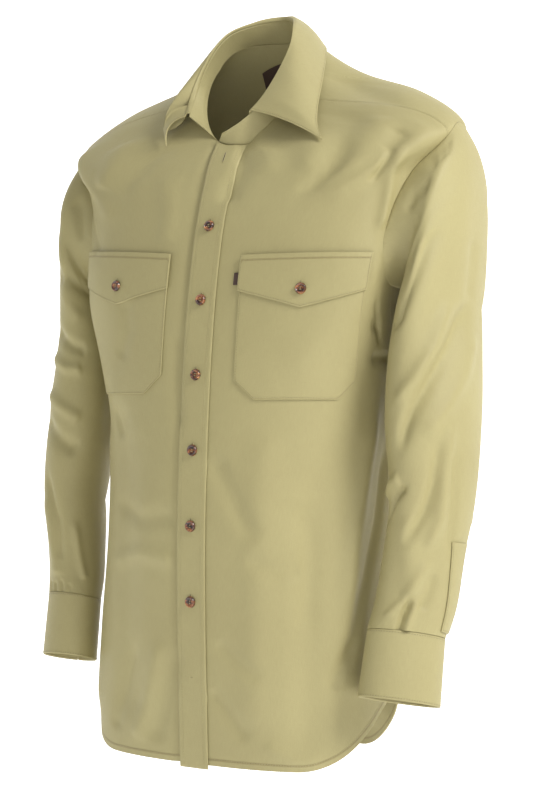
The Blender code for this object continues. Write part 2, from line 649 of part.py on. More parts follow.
def shell_arrays(points, normals, wall, closed):
    """Points and faces of a wall: the outer grid, the same grid one wall further in, and its rims."""
    outer = pulled_in(points, closed)
    columns, rows = outer.shape[:2]
    inner = outer - normals * wall
    both = np.concatenate([outer.reshape(-1, 3), inner.reshape(-1, 3)])
    count = columns * rows
    faces = [grid_quads(columns, rows, closed, 0), grid_quads(columns, rows, closed, count)[:, ::-1]]
    i = np.arange(columns if closed else columns - 1)
    near, far = i * rows, (i + 1) % columns * rows
    faces.append(np.stack([near, near + count, far + count, far], -1))
    near, far = near + rows - 1, far + rows - 1
    faces.append(np.stack([near, far, far + count, near + count], -1))
    if not closed:
        j = np.arange(rows - 1)
        faces.append(np.stack([j, j + 1, j + 1 + count, j + count], -1))
        j = j + (columns - 1) * rows
        faces.append(np.stack([j, j + count, j + 1 + count, j + 1], -1))
    return both, np.concatenate(faces)


def strip_grid(side, columns, rows):
    """The sleeve placket strip's place on a sleeve and its normals: each row is read from the sleeve's
    grid at turns that slant from the lower end to the upper one."""
    shares = np.linspace(*STRIP_SHARES, rows)
    step = 2.0
    points, out = draped_sleeve(np.arange(0.0, 360.0, step), shares, side)
    slant = STRIP_SLANT * np.linspace(1, 0, rows)
    place = ((np.linspace(*STRIP_TURNS, columns)[:, None] + slant) % 360) / step
    low = np.floor(place).astype(int)
    share, row = (place - low)[..., None], np.arange(rows)
    after = (low + 1) % len(points)
    points = points[low, row] * (1 - share) + points[after, row] * share
    out = out[low, row] * (1 - share) + out[after, row] * share
    return points, out / np.linalg.norm(out, axis=-1, keepdims=True), shares


def label_grid(columns, rows):
    """The neck label's place on the inside of the torso: a rectangle whose ends hang lower than its
    middle with the square of their distance, and the outward normals there."""
    x = np.linspace(1, -1, columns)[:, None] * LABEL_HALF_WIDTH
    z = LABEL_Z - LABEL_END_DROP * (x / LABEL_HALF_WIDTH) ** 2 + np.linspace(-0.5, 0.5, rows) * LABEL_HEIGHT
    level = np.full(z.shape, 0.97)
    for _ in range(4):
        angle = math.pi - angle_at(x, level)
        level = level_at(angle, z)
    return on_torso(angle, level, -(WALL + LABEL_LIFT))


def hung(points, shares, side):
    """The sleeve's points let down by the arm's drop, with the square of the share of its length."""
    drop = np.zeros(points.shape)
    drop[..., 2] = ARM_DROP[side] * np.asarray(shares) ** 2
    return points - drop


def shells():
    """Every piece of cloth as name, points, normals, wall, whether it closes round, and its material."""
    pieces = []

    def add(name, points, normals, wall, closed=False, material="cloth"):
        pieces.append((name, points, normals, wall, closed, material))

    turns, shares = ring_turns(), np.linspace(0, 1, SLEEVE_STEPS + 1)
    cuff, cuff_out = cuff_grid()
    rings, ring_out = [], []
    for name, side in (("left", 1.0), ("right", -1.0)):
        way = [side, 1.0, 1.0]
        points, out = draped_sleeve(turns, shares, side)
        rings.append(points[:, 0] * way)
        ring_out.append(out[:, 0] * way)
        add("sleeve_" + name, hung(points, shares, name) * way, out * way, WALL, closed=True)
        add("cuff_" + name, hung(cuff, 1.0, name) * way, cuff_out * way, WALL)
        points, out, strip_shares = strip_grid(side, 4, 7)
        points = hung(points + out * (STRIP_LIFT + TRIM_WALL), strip_shares, name)
        add("sleeve_placket_" + name, points * way, out * way, TRIM_WALL)
    rings, ring_out = np.concatenate(rings), np.concatenate(ring_out)

    plan = front_plan()
    for name, side in (("left", 1.0), ("right", -1.0)):
        depth = front_depth(len(plan), side)[:, None]
        points, out = on_torso(side * plan[..., 0], plan[..., 1])
        out = armhole_turned(points, out, rings, ring_out)
        add("front_" + name, points + out * depth[..., None], out, WALL)
        if side > 0:
            strip = plan[:3].copy()
            strip[2, :, 0] = angle_at(PLACKET_WIDTH - OVERLAP, strip[2, :, 1])
            strip[:, -1, 1] -= 0.004
            strip[:, 0, 1] -= 0.0045
            points, out = on_torso(strip[..., 0], strip[..., 1], 2 * SEAM_GAP + TRIM_WALL)
            add("placket_band", points, out, TRIM_WALL)
        points, out = on_front(*pocket_plan(), side, LIFT_ON_FRONT + TRIM_WALL)
        add("pocket_" + name, points, out, TRIM_WALL)
        points, out = on_front(*flap_plan(), side, LIFT_ON_FRONT + 2 * TRIM_WALL + 2 * SEAM_GAP)
        add("flap_" + name, points, out, TRIM_WALL)
    for name, plan in (("back", back_plan()), ("yoke", yoke_plan())):
        points, out = on_torso(plan[..., 0], plan[..., 1])
        add(name, points, armhole_turned(points, out, rings, ring_out), WALL)

    angles = neck_angles()
    points, out = stand_grid(angles, STAND_ROWS)
    add("collar_stand", points, out, WALL)
    ends = np.radians([FALL[0][0], FALL[-1][0]])
    points, out = fall_grid(np.linspace(*ends, FALL_COLUMNS_COUNT + 1), FALL_ROWS)
    add("collar_fall", points, out, WALL)

    points, out = label_grid(9, 3)
    add("neck_label", points, out, TRIM_WALL, material="dark_trim")

    z = TAB_Z + np.array([-0.5, 0.5]) * TAB_SIZE[1]
    level = level_at(angle_at(POCKET_INNER_X, 0.66), z)[None, :]
    angle = angle_at(POCKET_INNER_X - 2 * SEAM_GAP - np.array([1.0, 0.0])[:, None] * TAB_SIZE[0], level)
    points, out = on_torso(angle, level, LIFT_ON_FRONT + TRIM_WALL)
    add("pocket_tab", points, out, TRIM_WALL, material="dark_trim")
    return pieces


def button_places():
    """Every button's name, the middle of its underside and the way it faces."""
    places = []
    for k in range(FRONT_BUTTONS):
        level = level_at(0.0, FIRST_BUTTON_Z - k * BUTTON_SPACING)
        point, out = on_torso(0.0, level, 2 * SEAM_GAP + TRIM_WALL + BUTTON_LIFT)
        places.append((f"front_button_{k + 1}", point, out))
    on_flap = LIFT_ON_FRONT + 2 * TRIM_WALL + 2 * SEAM_GAP + BUTTON_LIFT
    for name, side in (("left", 1.0), ("right", -1.0)):
        angle = pocket_angles(np.array(FLAP_BUTTON_Z), FLAP_BUTTON_SHARE)
        point, out = on_front(angle, np.array(FLAP_BUTTON_Z), side, on_flap)
        places.append((f"flap_button_{name}", point, out))
    near_turns = np.array([CUFF_BUTTON_TURN, CUFF_BUTTON_TURN - 2, CUFF_BUTTON_TURN + 2])
    top, low = sleeve_ring(SLEEVE[-1], near_turns), sleeve_ring(CUFF_LOW, near_turns)
    point, out = (top[0] + low[0]) / 2, np.cross(low[2] - low[1], top[0] - low[0])
    out *= np.sign(out[0]) / np.linalg.norm(out)
    for name, way in (("left", np.ones(3)), ("right", np.array([-1.0, 1.0, 1.0]))):
        places.append((f"cuff_button_{name}", hung(point + out * BUTTON_LIFT, 1.0, name) * way, out * way))
    return places


def material(name, colour, roughness):
    """A plain surface finish."""
    made = bpy.data.materials.new(name)
    made.use_nodes = True
    shader = made.node_tree.nodes["Principled BSDF"]
    shader.inputs["Base Color"].default_value = colour
    shader.inputs["Roughness"].default_value = roughness
    shader.inputs["Metallic"].default_value = 0.0
    return made


def mesh_object(name, points, faces, finish):
    """An object from points and faces, with its faces turned outward and shaded smooth."""
    mesh = bpy.data.meshes.new(name)
    mesh.from_pydata(points.tolist(), [], faces.tolist())
    build = bmesh.new()
    build.from_mesh(mesh)
    bmesh.ops.recalc_face_normals(build, faces=build.faces)
    build.to_mesh(mesh)
    build.free()
    mesh.shade_smooth()
    mesh.set_sharp_from_angle(angle=math.radians(40))
    mesh.materials.append(finish)
    made = bpy.data.objects.new(name, mesh)
    bpy.context.collection.objects.link(made)
    return made


def button_mesh(finish):
    """A button turned about its axis, its underside at the origin and its face towards +Z."""
    turn = 2 * math.pi * np.arange(BUTTON_SIDES) / BUTTON_SIDES
    points, rings = [], []
    for radius, z in BUTTON_PROFILE:
        count = 1 if radius == 0 else BUTTON_SIDES
        rings.append(range(len(points), len(points) + count))
        points += [(radius * math.cos(t), radius * math.sin(t), z) for t in turn[:count]]
    faces = []
    for low, high in zip(rings, rings[1:]):
        for k in range(BUTTON_SIDES):
            after = k + 1
            corners = (low[k % len(low)], low[after % len(low)], high[after % len(high)], high[k % len(high)])
            faces.append(tuple(dict.fromkeys(corners)))
    mesh = bpy.data.meshes.new("button")
    mesh.from_pydata(points, [], faces)
    build = bmesh.new()
    build.from_mesh(mesh)
    bmesh.ops.recalc_face_normals(build, faces=build.faces)
    build.to_mesh(mesh)
    build.free()
    mesh.shade_smooth()
    mesh.set_sharp_from_angle(angle=math.radians(40))
    mesh.materials.append(finish)
    return mesh


def main():
    """Clears the scene and makes every piece of the shirt."""
    for old in list(bpy.data.objects):
        bpy.data.objects.remove(old)
    finishes = {
        "cloth": material("cotton_drill", CLOTH_COLOUR, 0.80),
        "dark_trim": material("dark_trim", DARK_TRIM_COLOUR, 0.75),
    }
    for name, points, normals, wall, closed, finish in shells():
        mesh_object(name, *shell_arrays(points, normals, wall, closed), finishes[finish])
    mesh = button_mesh(material("button", BUTTON_COLOUR, 0.30))
    for name, point, out in button_places():
        button = bpy.data.objects.new(name, mesh)
        button.location = point
        button.rotation_euler = Vector(out).to_track_quat("Z", "Y").to_euler()
        bpy.context.collection.objects.link(button)


main()
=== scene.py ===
"""A long-sleeved khaki drill shirt, hollow and filled out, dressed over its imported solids.

Every piece of cloth is a thin shell on one of three forms: the torso, a sleeve and the collar. The forms
and the torso's large creases are those of the solids. This script adds the torso's finer folds, all the
folds of the sleeves, the weave, the stitching, the buttonholes and the turned buttons. Metres, +Z up,
front towards -Y, wearer's left at +X.
"""

import math

import bmesh
import bpy
import numpy as np
from bpy.props import FloatProperty, FloatVectorProperty, PointerProperty
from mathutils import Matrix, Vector


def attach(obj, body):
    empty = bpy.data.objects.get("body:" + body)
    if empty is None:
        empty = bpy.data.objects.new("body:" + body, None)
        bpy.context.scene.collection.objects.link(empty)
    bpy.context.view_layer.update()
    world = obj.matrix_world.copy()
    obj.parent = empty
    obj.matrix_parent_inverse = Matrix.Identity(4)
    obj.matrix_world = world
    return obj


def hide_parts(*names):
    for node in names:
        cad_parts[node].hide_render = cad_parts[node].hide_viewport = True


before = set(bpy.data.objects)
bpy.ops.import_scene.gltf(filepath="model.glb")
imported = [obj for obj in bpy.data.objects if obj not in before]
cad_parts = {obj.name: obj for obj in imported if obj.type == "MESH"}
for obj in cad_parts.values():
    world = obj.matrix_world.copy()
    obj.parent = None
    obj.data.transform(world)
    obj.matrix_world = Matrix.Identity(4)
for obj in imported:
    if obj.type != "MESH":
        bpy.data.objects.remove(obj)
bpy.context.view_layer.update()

bl_info = {
    "name": "Drill Shirt",
    "version": (1, 0, 0),
    "blender": (4, 5, 0),
    "location": "View3D > Sidebar > Shirt",
    "description": "Builds a hollow long-sleeved drill shirt with its stitching, buttons and cloth",
    "category": "Object",
}

# Cloth: walls, and the gap left between pieces
WALL = 0.0014
TRIM_WALL = 0.0011
SEAM_GAP = 0.0004

# The wearer's left and right, and which way x runs there
SIDES = (("left", 1.0), ("right", -1.0))

# Torso rings, from the hem to the neckline seam. Columns: level, the ring's place on the cloth from 0 to 1;
# front_z, side_z and back_z, its heights; half_width, half its breadth; widest_y, where that is; front_y
# and back_y, its ends; squareness, its superellipse exponent; and lean, its slope down towards the
# wearer's left.
TORSO = np.array((
    (0.00, -0.815, -0.815, -0.815, 0.172, -0.046, -0.151, 0.070, 2.6, 0.0),
    (0.10, -0.730, -0.730, -0.730, 0.172, -0.042, -0.155, 0.072, 2.6, 0.0),
    (0.22, -0.630, -0.630, -0.630, 0.169, -0.032, -0.159, 0.074, 2.5, 0.0),
    (0.34, -0.520, -0.520, -0.520, 0.164, -0.022, -0.160, 0.078, 2.4, 0.0),
    (0.46, -0.415, -0.415, -0.415, 0.166, -0.022, -0.155, 0.084, 2.4, 0.0),
    (0.56, -0.325, -0.325, -0.325, 0.177, -0.038, -0.147, 0.087, 2.5, 0.0),
    (0.65, -0.255, -0.250, -0.250, 0.188, -0.058, -0.137, 0.090, 2.6, 0.0),
    (0.73, -0.202, -0.188, -0.190, 0.199, -0.040, -0.126, 0.096, 2.6, 0.0),
    (0.80, -0.165, -0.125, -0.140, 0.217, -0.015, -0.115, 0.100, 2.5, 0.0),
    (0.86, -0.138, -0.074, -0.096, 0.240, -0.003, -0.105, 0.100, 2.4, 0.009),
    (0.91, -0.121, -0.036, -0.046, 0.184, -0.002, -0.098, 0.094, 2.3, 0.014),
    (0.955, -0.107, -0.013, -0.002, 0.113, 0.012, -0.090, 0.078, 2.15, 0.045),
    (1.00, -0.093, 0.006, 0.044, 0.0645, 0.002, -0.079, 0.056, 2.0, 0.080),
))

# Hem: its height at the centre front, centre back and its highest, and the angles where it starts to
# rise, is highest and is level again
HEM_FRONT_Z = -0.764
HEM_BACK_Z = -0.772
HEM_SIDE_Z = -0.692
HEM_ANGLES = (38.0, 106.0, 152.0)

# Armhole on the torso's form: its middle and half height in level, its half width in degrees, and the
# turns round it where the yoke's front and back seams meet it
ARMHOLE_MIDDLE = 0.7525
ARMHOLE_HALF_HEIGHT = 0.1075
ARMHOLE_FRONT_WIDTH = 25.0
ARMHOLE_BACK_WIDTH = 30.0
YOKE_FRONT_TURN = 32.0
YOKE_BACK_TURN = 306.0

# Yoke seams on the torso's form
YOKE_NECK_ANGLE = 62.0
YOKE_BACK_LEVEL = 0.85

# Front edges and placket. The band's ends are lower in level than the front's, and the right front
# comes up again beside the placket over its blend.
OVERLAP = 0.0175
PLACKET_WIDTH = 0.035
PLACKET_ENDS = (0.0045, 0.0040)
UNDERLAP_EDGE = 0.0195
UNDERLAP_BLEND = 0.010

# Sleeve rings below the armhole, on the wearer's left. Columns: the share of the sleeve's length; x, y and z
# of the ring's outermost point and of its innermost one; half its depth from front to back; how far its
# front is raised; and half the depth of the right sleeve, which hangs less full.
SLEEVE = (
    (0.06, 0.2530, 0.000, -0.102, 0.1968, -0.002, -0.262, 0.076, 0.000, 0.073),
    (0.13, 0.2600, -0.003, -0.144, 0.1950, -0.009, -0.272, 0.080, 0.000, 0.071),
    (0.22, 0.2610, -0.006, -0.200, 0.1910, -0.018, -0.288, 0.083, 0.000, 0.068),
    (0.36, 0.2600, -0.011, -0.285, 0.1865, -0.032, -0.325, 0.080, 0.000, 0.063),
    (0.53, 0.2685, -0.024, -0.385, 0.1850, -0.050, -0.395, 0.068, 0.003, 0.057),
    (0.70, 0.2690, -0.040, -0.485, 0.1930, -0.063, -0.485, 0.051, 0.005, 0.049),
    (0.80, 0.2620, -0.047, -0.535, 0.1880, -0.071, -0.535, 0.042, 0.007, 0.044),
    (0.90, 0.2560, -0.054, -0.585, 0.1820, -0.079, -0.582, 0.038, 0.009, 0.039),
    (1.00, 0.2500, -0.066, -0.618, 0.1770, -0.090, -0.613, 0.0345, 0.009, 0.0345),
)

# How far each cuff hangs below the table's, as the arms are not quite alike
ARM_DROP = {"left": 0.004, "right": -0.011}

# Cuff: its lower ring in the sleeve's columns, where its opening is and how far its ends overlap in
# degrees, its cut corners, the radius for distances round it, and the degrees over which the end
# underneath comes up to the other's level
CUFF_LOW = (1.10, 0.2500, -0.078, -0.688, 0.1730, -0.104, -0.681, 0.0345, 0.009, 0.0345)
CUFF_OPENING_TURN = -82.0
CUFF_OVERLAP_TURN = 26.0
CUFF_CORNER = 0.010
CUFF_RADIUS = 0.045
CUFF_BLEND = 34.0

# Collar stations, from the wearer's left front round the back to the right front. Columns: the place on the
# neckline seam in degrees, and x, y and z of the stand's upper edge.
STAND = np.array((
    (-15.0, -0.0080, -0.0840, -0.0805),
    (20.0, 0.0230, -0.0790, -0.0615),
    (50.0, 0.0400, -0.0655, -0.0380),
    (75.0, 0.0510, -0.0450, -0.0010),
    (95.0, 0.0510, -0.0280, 0.0230),
    (120.0, 0.0415, -0.0060, 0.0450),
    (150.0, 0.0235, 0.0230, 0.0600),
    (180.0, 0.0000, 0.0400, 0.0670),
    (210.0, -0.0280, 0.0270, 0.0630),
    (240.0, -0.0480, -0.0020, 0.0480),
    (265.0, -0.0560, -0.0240, 0.0250),
    (285.0, -0.0600, -0.0400, 0.0000),
    (310.0, -0.0610, -0.0580, -0.0340),
    (342.0, -0.0550, -0.0785, -0.0570),
))

# Fall stations, from the left point to the right. Columns: the place in degrees; x, y and z of its lower
# edge; and how far its middle stands out from the straight line between fold and edge.
FALL = np.array((
    (22.0, 0.1185, -0.0870, -0.0960, 0.004),
    (50.0, 0.1070, -0.0760, -0.0760, 0.006),
    (75.0, 0.0975, -0.0550, -0.0500, 0.007),
    (95.0, 0.0850, -0.0205, -0.0161, 0.008),
    (120.0, 0.0655, 0.0245, 0.0224, 0.006),
    (150.0, 0.0405, 0.0600, 0.0344, 0.006),
    (180.0, 0.0000, 0.0730, 0.0330, 0.008),
    (210.0, -0.0440, 0.0620, 0.0334, 0.009),
    (240.0, -0.0770, 0.0260, 0.0264, 0.009),
    (265.0, -0.0930, -0.0220, -0.0176, 0.009),
    (285.0, -0.0970, -0.0530, -0.0450, 0.009),
    (310.0, -0.0935, -0.0720, -0.0655, 0.009),
    (338.0, -0.0820, -0.0850, -0.0885, 0.010),
))

# Creases of the torso, as in the solids: half width and height in metres (a trough's is negative), then
# both ends, as the angle round the torso in degrees and the height
TORSO_CREASES = (
    (0.012, 0.0030, ((64.0, -0.090), (40.0, -0.150))),
    (0.010, -0.0020, ((52.0, -0.075), (34.0, -0.125))),
    (0.022, 0.0020, ((66.0, -0.240), (40.0, -0.330))),
    (0.022, 0.0045, ((70.0, -0.420), (62.0, -0.660))),
    (0.020, -0.0040, ((48.0, -0.470), (42.0, -0.720))),
    (0.018, 0.0030, ((28.0, -0.430), (24.0, -0.700))),
    (0.012, 0.0035, ((-64.0, -0.090), (-42.0, -0.160))),
    (0.010, -0.0025, ((-70.0, -0.130), (-50.0, -0.200))),
    (0.024, 0.0025, ((-64.0, -0.270), (-34.0, -0.400))),
    (0.022, -0.0045, ((-38.0, -0.400), (-30.0, -0.700))),
    (0.024, 0.0045, ((-62.0, -0.430), (-58.0, -0.700))),
    (0.024, 0.0060, ((112.0, -0.230), (128.0, -0.520))),
    (0.024, -0.0060, ((132.0, -0.300), (142.0, -0.720))),
    (0.024, 0.0050, ((158.0, -0.420), (154.0, -0.760))),
    (0.026, -0.0040, ((178.0, -0.500), (182.0, -0.770))),
    (0.024, 0.0050, ((204.0, -0.400), (208.0, -0.760))),
    (0.024, -0.0060, ((226.0, -0.330), (220.0, -0.700))),
    (0.024, 0.0060, ((248.0, -0.230), (234.0, -0.540))),
)

# Sizes of the cloth laid flat, for the distances from folds: the torso's and a sleeve's radius, and a
# sleeve's length
TORSO_RADIUS = 0.170
SLEEVE_RADIUS = 0.055
SLEEVE_LENGTH = 0.600

# Pieces lying on a front. POCKET_RADIUS is the radius for distances across a pocket.
POCKET_INNER_X = 0.046
POCKET_OUTER_ANGLE = 62.0
POCKET_TOP_Z = -0.232
POCKET_LOW_Z = -0.3745
POCKET_CORNER = 0.020
POCKET_RADIUS = 0.150
FLAP_TOP_Z = -0.221
FLAP_CORNER_Z = -0.259
FLAP_POINT = 0.019
FLAP_OVERHANG = 0.0012
FLAP_POINT_SHARE = 0.455
LIFT_ON_FRONT = 0.0005

# The right front rides up a little, with its pocket and flap: by this much at the pocket's lower edge, and
# by this slope more towards the side at the flap's top
RIGHT_RISE = 0.0065
RIGHT_TILT = 0.120

# Dark tab in the left pocket's inner edge: how far it stands out and its height, and where its middle is
TAB_SIZE = (0.0070, 0.0125)
TAB_Z = -0.246

# Sleeve placket strip, in degrees round the sleeve and share of its length, and how far round it slants
# from its lower end to its upper one
STRIP_TURNS = (-25.0, 13.0)
STRIP_SHARES = (0.775, 0.985)
STRIP_SLANT = 12.0
STRIP_LIFT = 0.0004

# Label inside the back of the yoke: its half width, its height, where its middle is, and how much lower
# its ends are
LABEL_HALF_WIDTH = 0.043
LABEL_HEIGHT = 0.021
LABEL_Z = 0.0150
LABEL_END_DROP = 0.010
LABEL_LIFT = 0.0010

# A point inside the neck, the size of the fall's roll over the stand, and the roll's section as shares of
# that size, up and out from the stand's upper edge
NECK_MIDDLE = np.array([0.0, 0.0, -0.010])
ROLL = 0.0040
ROLL_SECTION = ((0.10, -0.35), (0.80, -0.25), (1.25, 0.35), (0.95, 1.20))

# Buttons: their size and lift over the cloth, and their places on the placket, the flaps and the cuffs
BUTTON_RADIUS = 0.0062
BUTTON_HEIGHT = 0.0029
BUTTON_LIFT = 0.0004
FRONT_BUTTONS = 6
FIRST_BUTTON_Z = -0.187
BUTTON_SPACING = 0.0806
FLAP_BUTTON_Z = -0.2585
FLAP_BUTTON_SHARE = 0.445
CUFF_BUTTON_TURN = -68.0

# Steps of the fine surfaces, a pair's across and then along
NECK_STEPS = 16
SHOULDER_STEPS = 44
SIDE_STEPS = 160
ARMHOLE_STEPS = 60
CAP_STEPS = 26
BACK_STEPS = 110
SLEEVE_STEPS = 190
PLACKET_COLUMNS = 10
PLACKET_STEPS = (18, 240)
STRIP_STEPS = (19, 59)
CORNER_STEPS = 8
CUFF_STEPS = 190
CUFF_ROWS = 44
STAND_ROWS = 14
FALL_STEPS = (220, 36)
POCKET_COLUMNS = 96
POCKET_ROWS = 84
POCKET_CORNER_ROWS = 14
FLAP_ROWS = 40
TAB_STEPS = (5, 8)
LABEL_STEPS = (60, 16)

# Finer folds of the torso: half width and height, then the points that each runs through
TORSO_FOLDS = (
    (0.007, -0.0053, ((61.0, -0.061), (46.0, -0.085), (32.0, -0.120), (28.0, -0.160))),
    (0.008, 0.0039, ((56.0, -0.063), (36.0, -0.098), (24.0, -0.130))),
    (0.008, 0.0039, ((61.0, -0.069), (43.0, -0.102), (35.0, -0.137))),
    (0.006, -0.0039, ((58.0, -0.088), (49.0, -0.108), (50.0, -0.147))),
    (0.009, 0.0046, ((53.0, -0.114), (59.0, -0.154), (63.0, -0.197))),
    (0.008, -0.0046, ((28.0, -0.069), (10.0, -0.101), (4.0, -0.141), (4.0, -0.163))),
    (0.006, 0.0031, ((23.0, -0.098), (14.0, -0.129))),
    (0.006, -0.0027, ((69.0, -0.297), (78.0, -0.297))),
    (0.006, -0.0041, ((71.0, -0.331), (89.0, -0.331))),
    (0.006, -0.0024, ((72.0, -0.270), (77.0, -0.316))),
    (0.012, 0.0041, ((78.0, -0.376), (71.0, -0.450), (64.0, -0.532), (60.0, -0.594))),
    (0.010, -0.0049, ((88.0, -0.418), (82.0, -0.502), (68.0, -0.585), (59.0, -0.667))),
    (0.008, -0.0032, ((63.0, -0.627), (56.0, -0.658), (52.0, -0.678))),
    (0.010, -0.0030, ((8.0, -0.433), (17.0, -0.479), (26.0, -0.526))),
    (0.009, -0.0024, ((23.0, -0.541), (33.0, -0.557), (42.0, -0.554))),
    (0.009, -0.0030, ((7.0, -0.683), (14.0, -0.705), (21.0, -0.733))),
    (0.008, -0.0022, ((10.0, -0.630), (19.0, -0.653), (27.0, -0.667))),
    (0.008, 0.0024, ((27.0, -0.736), (36.0, -0.750), (48.0, -0.752))),
    (0.016, -0.0032, ((42.0, -0.479), (46.0, -0.541), (43.0, -0.624))),
    (0.010, -0.0032, ((-6.0, -0.642), (-12.0, -0.700), (-18.0, -0.747))),
    (0.010, 0.0035, ((-14.0, -0.633), (-20.0, -0.702), (-26.0, -0.747))),
    (0.010, -0.0030, ((-27.0, -0.639), (-35.0, -0.708), (-38.0, -0.740))),
    (0.007, -0.0032, ((-46.0, -0.382), (-40.0, -0.415))),
    (0.010, -0.0027, ((-44.0, -0.488), (-24.0, -0.505), (-7.0, -0.499))),
    (0.009, 0.0024, ((-44.0, -0.554), (-24.0, -0.541), (-7.0, -0.547))),
    (0.007, -0.0024, ((-8.0, -0.300), (-8.0, -0.354), (-6.0, -0.406))),
    (0.009, 0.0032, ((-50.0, -0.075), (-39.0, -0.111), (-42.0, -0.134))),
    (0.008, -0.0027, ((-34.0, -0.091), (-28.0, -0.120), (-33.0, -0.143))),
    (0.009, 0.0030, ((-16.0, -0.119), (-15.0, -0.171), (-16.0, -0.205))),
    (0.010, -0.0022, ((-32.0, -0.264), (-31.0, -0.298), (-36.0, -0.331))),
    (0.008, -0.0031, ((89.0, -0.009), (80.0, -0.032), (69.0, -0.058))),
    (0.010, -0.0041, ((-88.0, -0.400), (-78.0, -0.500), (-70.0, -0.610))),
    (0.010, 0.0035, ((-92.0, -0.300), (-84.0, -0.360), (-74.0, -0.400))),
    (0.010, -0.0053, ((112.0, -0.130), (124.0, -0.190), (130.0, -0.280))),
    (0.012, 0.0046, ((128.0, -0.140), (138.0, -0.220), (146.0, -0.350))),
    (0.014, 0.0042, ((164.0, -0.160), (168.0, -0.280), (176.0, -0.400))),
    (0.010, -0.0039, ((186.0, -0.180), (188.0, -0.260), (194.0, -0.360))),
    (0.012, 0.0046, ((204.0, -0.150), (212.0, -0.230), (216.0, -0.320))),
    (0.010, -0.0049, ((240.0, -0.150), (230.0, -0.210), (222.0, -0.290))),
    (0.010, -0.0035, ((118.0, -0.420), (132.0, -0.450), (150.0, -0.456), (166.0, -0.440))),
    (0.011, 0.0030, ((150.0, -0.520), (148.0, -0.620), (152.0, -0.740))),
    (0.011, -0.0032, ((198.0, -0.500), (192.0, -0.620), (196.0, -0.750))),
    (0.010, -0.0035, ((248.0, -0.440), (232.0, -0.476), (216.0, -0.480))),
    (0.012, 0.0030, ((236.0, -0.540), (240.0, -0.620), (238.0, -0.700))),
)

# Folds of the left sleeve, as the turn in degrees and the share of its length
LEFT_SLEEVE_FOLDS = (
    (0.020, 0.0030, ((20.0, 0.10), (24.0, 0.24), (14.0, 0.36))),
    (0.016, -0.0030, ((96.0, 0.12), (100.0, 0.24), (112.0, 0.34))),
    (0.016, 0.0034, ((96.0, 0.72), (80.0, 0.84), (70.0, 0.90))),
    (0.018, -0.0030, ((180.0, 0.20), (186.0, 0.40), (178.0, 0.56))),
    (0.009, -0.0070, ((8.0, 0.33), (32.0, 0.41), (62.0, 0.48), (84.0, 0.535), (106.0, 0.60))),
    (0.009, 0.0049, ((34.0, 0.325), (52.0, 0.405), (78.0, 0.465), (108.0, 0.51))),
    (0.010, 0.0046, ((-2.0, 0.385), (18.0, 0.465), (46.0, 0.53), (70.0, 0.58))),
    (0.008, -0.0051, ((50.0, 0.585), (58.0, 0.655), (72.0, 0.72), (94.0, 0.785))),
    (0.006, -0.0035, ((32.0, 0.60), (32.0, 0.69), (29.0, 0.79))),
    (0.008, 0.0043, ((36.0, 0.55), (48.0, 0.635), (50.0, 0.73), (62.0, 0.795))),
    (0.005, -0.0057, ((98.0, 0.665), (122.0, 0.69), (148.0, 0.74))),
    (0.007, 0.0046, ((108.0, 0.65), (130.0, 0.66), (150.0, 0.685))),
    (0.006, -0.0035, ((66.0, 0.06), (78.0, 0.035), (90.0, 0.035))),
    (0.008, -0.0032, ((4.0, 0.225), (7.0, 0.28), (10.0, 0.33))),
    (0.012, -0.0038, ((58.0, 0.175), (80.0, 0.25), (114.0, 0.33))),
    (0.008, 0.0032, ((58.0, 0.815), (82.0, 0.905), (106.0, 0.965))),
    (0.008, -0.0032, ((46.0, 0.845), (52.0, 0.89), (58.0, 0.93))),
    (0.005, -0.0041, ((74.0, 0.90), (79.0, 0.96), (80.0, 1.02))),
    (0.006, 0.0035, ((66.0, 0.90), (69.0, 0.96), (70.0, 1.02))),
    (0.004, -0.0018, ((30.0, -0.01), (33.0, 0.03), (36.0, 0.06))),
    (0.004, -0.0018, ((38.0, -0.01), (41.0, 0.03), (43.0, 0.055))),
    (0.004, -0.0015, ((48.0, -0.01), (50.0, 0.02), (54.0, 0.05))),
    (0.010, -0.0057, ((-30.0, 0.30), (-70.0, 0.42), (-110.0, 0.47))),
    (0.010, 0.0043, ((-60.0, 0.46), (-100.0, 0.56), (-140.0, 0.58))),
    (0.009, -0.0049, ((-80.0, 0.62), (-120.0, 0.70), (-160.0, 0.73))),
    (0.008, 0.0035, ((-40.0, 0.70), (-70.0, 0.80), (-100.0, 0.84))),
    (0.008, -0.0032, ((-100.0, 0.86), (-130.0, 0.92), (-150.0, 0.96))),
)

